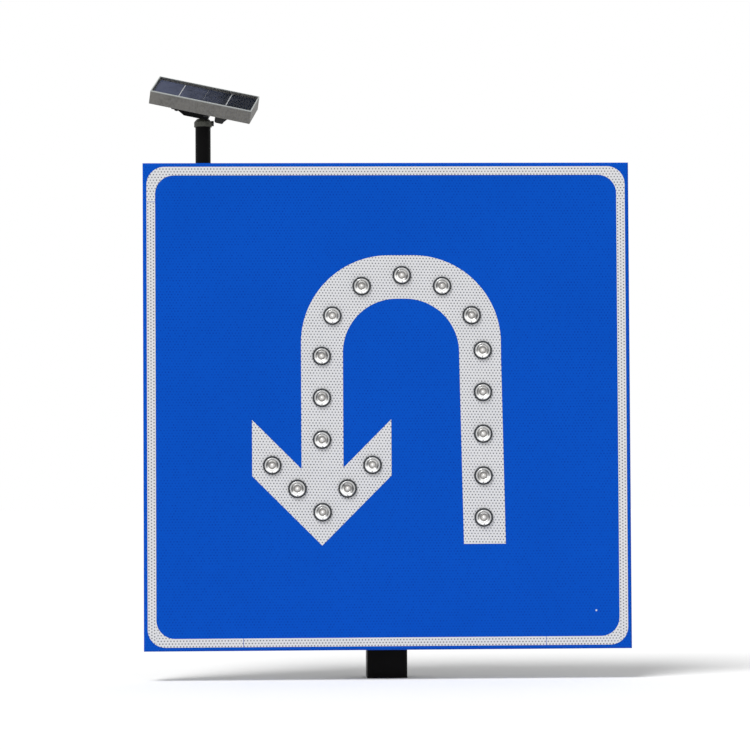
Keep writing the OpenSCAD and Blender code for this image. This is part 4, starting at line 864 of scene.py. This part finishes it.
frame_finish, shader = new_finish("weathered anodised aluminium", FRAME_GREY, 0.55, metallic=0.5)
there = on_panel(frame_finish)
streaked = add(frame_finish, "ShaderNodeMapping", {"Vector": there, "Scale": (1, 1, 0.7)})
streaks = add(frame_finish, "ShaderNodeTexNoise", {
    "Vector": streaked.outputs["Vector"], "Scale": 1 / STREAK, "Detail": 5.0,
    "Roughness": 0.7}).outputs["Fac"]
blotches = add(frame_finish, "ShaderNodeTexNoise", {
    "Vector": there, "Scale": 1 / BLOTCH, "Detail": 4.0})
stain = add(frame_finish, "ShaderNodeMapRange", {
    "Value": streaks, "From Min": 0.42, "From Max": 0.68})
above = add(frame_finish, "ShaderNodeSeparateXYZ", {"Vector": there})
# A paler band along the top of the lip, picked by height over the ball.
lip = add(frame_finish, "ShaderNodeMapRange", {
    "Value": above.outputs["Z"], "From Min": LIP_TOP - LIP_PALE_BAND[0], "From Max": LIP_TOP - LIP_PALE_BAND[1]})
coated(frame_finish, shader, FRAME_GREY, (stain.outputs["Result"], FRAME_STAIN),
       (blotches.outputs["Fac"], FRAME_PATCH), (lip.outputs["Result"], FRAME_PALE))
raised = add(frame_finish, "ShaderNodeBump", {
    "Height": streaks, "Strength": 0.3, "Distance": STAIN_DEPTH})
feed(frame_finish, shader, "Normal", raised.outputs["Normal"])

extrusion = slab(PANEL_SIZE, FOOT_Z, LIP_TOP)
for rim, low, high in ((SHEET, BACKSHEET_Z, LIP_TOP + PAST), (WALL, FOOT_Z + SHEET, LEDGE_Z),
                       (LEDGE, LEDGE_Z - PAST, BACKSHEET_Z + PAST),
                       (FOOT, FOOT_Z - PAST, FOOT_Z + SHEET + PAST)):
    cut_away(extrusion, slab(inside(rim), low, high))
for spot in SCREW_SPOTS:
    cut_away(extrusion, prism(24, SCREW_HOLE, 2 * (SHEET + PAST), (*spot, FOOT_Z)))
extrusion = copies(extrusion, [BALL], PANEL_TURN)
hand_over(extrusion, "panel_frame_narrow_lip", "panel", "frame_anodised",
          frame_finish, "panel_frame")

# Laminate: silicon cells on a white backsheet, under tempered glass. Thin silver fingers
# run across each cell every 2 mm, too fine to show except as a sheen, and the white
# backsheet shows as pale lines between the cells. The glass has a thin haze of dust.
CELL_BLUE = "#565c74"
CELL_DARK = "#0f1522"
CELL_PATCH = 16 * mm
CELL_FADE = (-55 * mm, 50 * mm)
FINGER_SILVER = "#8f939c"
FINGER_PITCH = 2 * mm
FINGER_EDGE = (0.12 * mm, 0.05 * mm)
CELL_Z = 35.3 * mm
GLASS_Z = 35.7 * mm
GLASS_TOP = 39.1 * mm
GLASS_GAP = 0.1 * mm
CELL_BOND = 0.05 * mm
CELL_STRIP = (124 * mm, 47.4 * mm)
CELL_GAPS = ((-29.9 * mm, 1.3 * mm), (0.05 * mm, 0.4 * mm), (29.7 * mm, 1.3 * mm))
GLASS_TINT = "#20242c"
HAZE_PATCH = 9 * mm
BACKSHEET_WHITE = "#dfe1e3"
WEAVE = 1 * mm

cell_finish, shader = new_finish("monocrystalline silicon cell", CELL_BLUE, 0.35)
shader.inputs["Specular IOR Level"].default_value = 0.0
there = on_panel(cell_finish)
blotches = add(cell_finish, "ShaderNodeTexNoise", {
    "Vector": there, "Scale": 1 / CELL_PATCH, "Detail": 4.0, "Roughness": 0.6})
parts = add(cell_finish, "ShaderNodeSeparateXYZ", {"Vector": there})
fade = add(cell_finish, "ShaderNodeMapRange", {
    "Value": parts.outputs["X"], "From Min": CELL_FADE[0], "From Max": CELL_FADE[1],
    "To Min": 0.55, "To Max": -0.35}, clamp=False)
mixed = add(cell_finish, "ShaderNodeMath", {
    0: blotches.outputs["Fac"], 1: fade.outputs["Result"]}, operation="ADD")
depth = add(cell_finish, "ShaderNodeMapRange", {
    "Value": mixed.outputs[0], "From Min": 0.3, "From Max": 1.0})
step = add(cell_finish, "ShaderNodeMath", {
    0: parts.outputs["X"], 1: FINGER_PITCH}, operation="PINGPONG")
finger = add(cell_finish, "ShaderNodeMapRange", {
    "Value": step.outputs[0], "From Min": FINGER_EDGE[0], "From Max": FINGER_EDGE[1],
    "To Max": 0.25})
coated(cell_finish, shader, CELL_DARK, (depth.outputs["Result"], CELL_BLUE),
       (finger.outputs["Result"], FINGER_SILVER))

strip = slab(CELL_STRIP, CELL_Z + CELL_BOND, GLASS_Z - CELL_BOND)
for along, gap in CELL_GAPS:
    cut_away(strip, slab((gap, CELL_STRIP[1] + PAST), CELL_Z - PAST, GLASS_Z + PAST, along))
strip = copies(strip, [BALL], PANEL_TURN)
hand_over(strip, "solar_cells_four", "panel", "silicon_cells", cell_finish, "solar_cells")

glass_finish, shader = new_finish("tempered glass", GLASS_TINT, 0.06, ior=1.52)
shader.inputs["Alpha"].default_value = 0.12
shader.inputs["Specular IOR Level"].default_value = 0.15
there = on_panel(glass_finish)
dust = add(glass_finish, "ShaderNodeTexNoise", {
    "Vector": there, "Scale": 1 / HAZE_PATCH, "Detail": 5.0})
haze = add(glass_finish, "ShaderNodeMapRange", {
    "Value": dust.outputs["Fac"], "From Min": 0.3, "From Max": 0.7,
    "To Min": 0.05, "To Max": 0.2})
feed(glass_finish, shader, "Roughness", haze.outputs["Result"])

pane = copies(slab(inside(SHEET + GLASS_GAP), GLASS_Z, GLASS_TOP), [BALL], PANEL_TURN)
hand_over(pane, "panel_glass_pane", "panel", "panel_glass", glass_finish, "panel_glass")

backsheet_finish, shader = new_finish("white polyester backsheet", BACKSHEET_WHITE, 0.5, ior=1.57)
grained(backsheet_finish, shader, on_panel(backsheet_finish), WEAVE, 0.1, 0.03 * mm)
dress("panel_backsheet", backsheet_finish)

# Stage: a plain pale floor under the post's cut end, an open white surround and one broad,
# even daylight from above on the left. The camera stands where the photograph was taken
# from, 4 m in front of the face.
FLOOR_SIZE = 60
FLOOR_WHITE = "#fdfdfd"
SUN_FROM = (-0.35, -0.5, 0.85)
SUN_POWER = 2.2
SUN_SPREAD = 28
CAMERA_AT = (-0.1709, -4.0017, 0.2371)
CAMERA_TURN = (1.60578, 0.005496, -0.039401)
FOCAL_PIXELS = 3200
FRAME_PIXELS = 750
SENSOR = 36

bpy.ops.object.select_all(action="DESELECT")
bpy.ops.mesh.primitive_plane_add(size=FLOOR_SIZE, location=(0, 0, 0))
floor = bpy.context.object
floor.name = "floor"
floor_finish, shader = new_finish("pale studio floor", FLOOR_WHITE, 0.9)
shader.inputs["Specular IOR Level"].default_value = 0.0
floor.data.materials.append(floor_finish)

# The surround is white where it is seen or mirrored, and lights the object at half that.
world = bpy.data.worlds.new("white surround")
bpy.context.scene.world = world
world.use_nodes = True
surround = world.node_tree.nodes["Background"]
surround.inputs["Color"].default_value = (1, 1, 1, 1)
rays = add(world, "ShaderNodeLightPath", {}).outputs
seen = add(world, "ShaderNodeMath", {
    0: rays["Is Camera Ray"], 1: rays["Is Glossy Ray"]}, operation="MAXIMUM")
seen = add(world, "ShaderNodeMath", {
    0: seen.outputs[0], 1: rays["Is Transmission Ray"]}, operation="MAXIMUM")
level = add(world, "ShaderNodeMapRange", {
    "Value": seen.outputs[0], "To Min": 0.5, "To Max": 1.0})
feed(world, surround, "Strength", level.outputs["Result"])

lamp = bpy.data.lights.new("soft daylight", "SUN")
lamp.energy = SUN_POWER
lamp.angle = math.radians(SUN_SPREAD)
sun = bpy.data.objects.new("soft daylight", lamp)
bpy.context.scene.collection.objects.link(sun)
sun.rotation_euler = (-Vector(SUN_FROM)).to_track_quat("-Z", "Y").to_euler()

camera = bpy.data.cameras.new("camera")
camera.sensor_width = SENSOR
camera.lens = FOCAL_PIXELS / FRAME_PIXELS * SENSOR
stand = bpy.data.objects.new("camera", camera)
bpy.context.scene.collection.objects.link(stand)
stand.location = CAMERA_AT
stand.rotation_euler = CAMERA_TURN
bpy.context.scene.camera = stand
bpy.context.scene.view_settings.view_transform = "Standard"

bpy.context.view_layer.update()
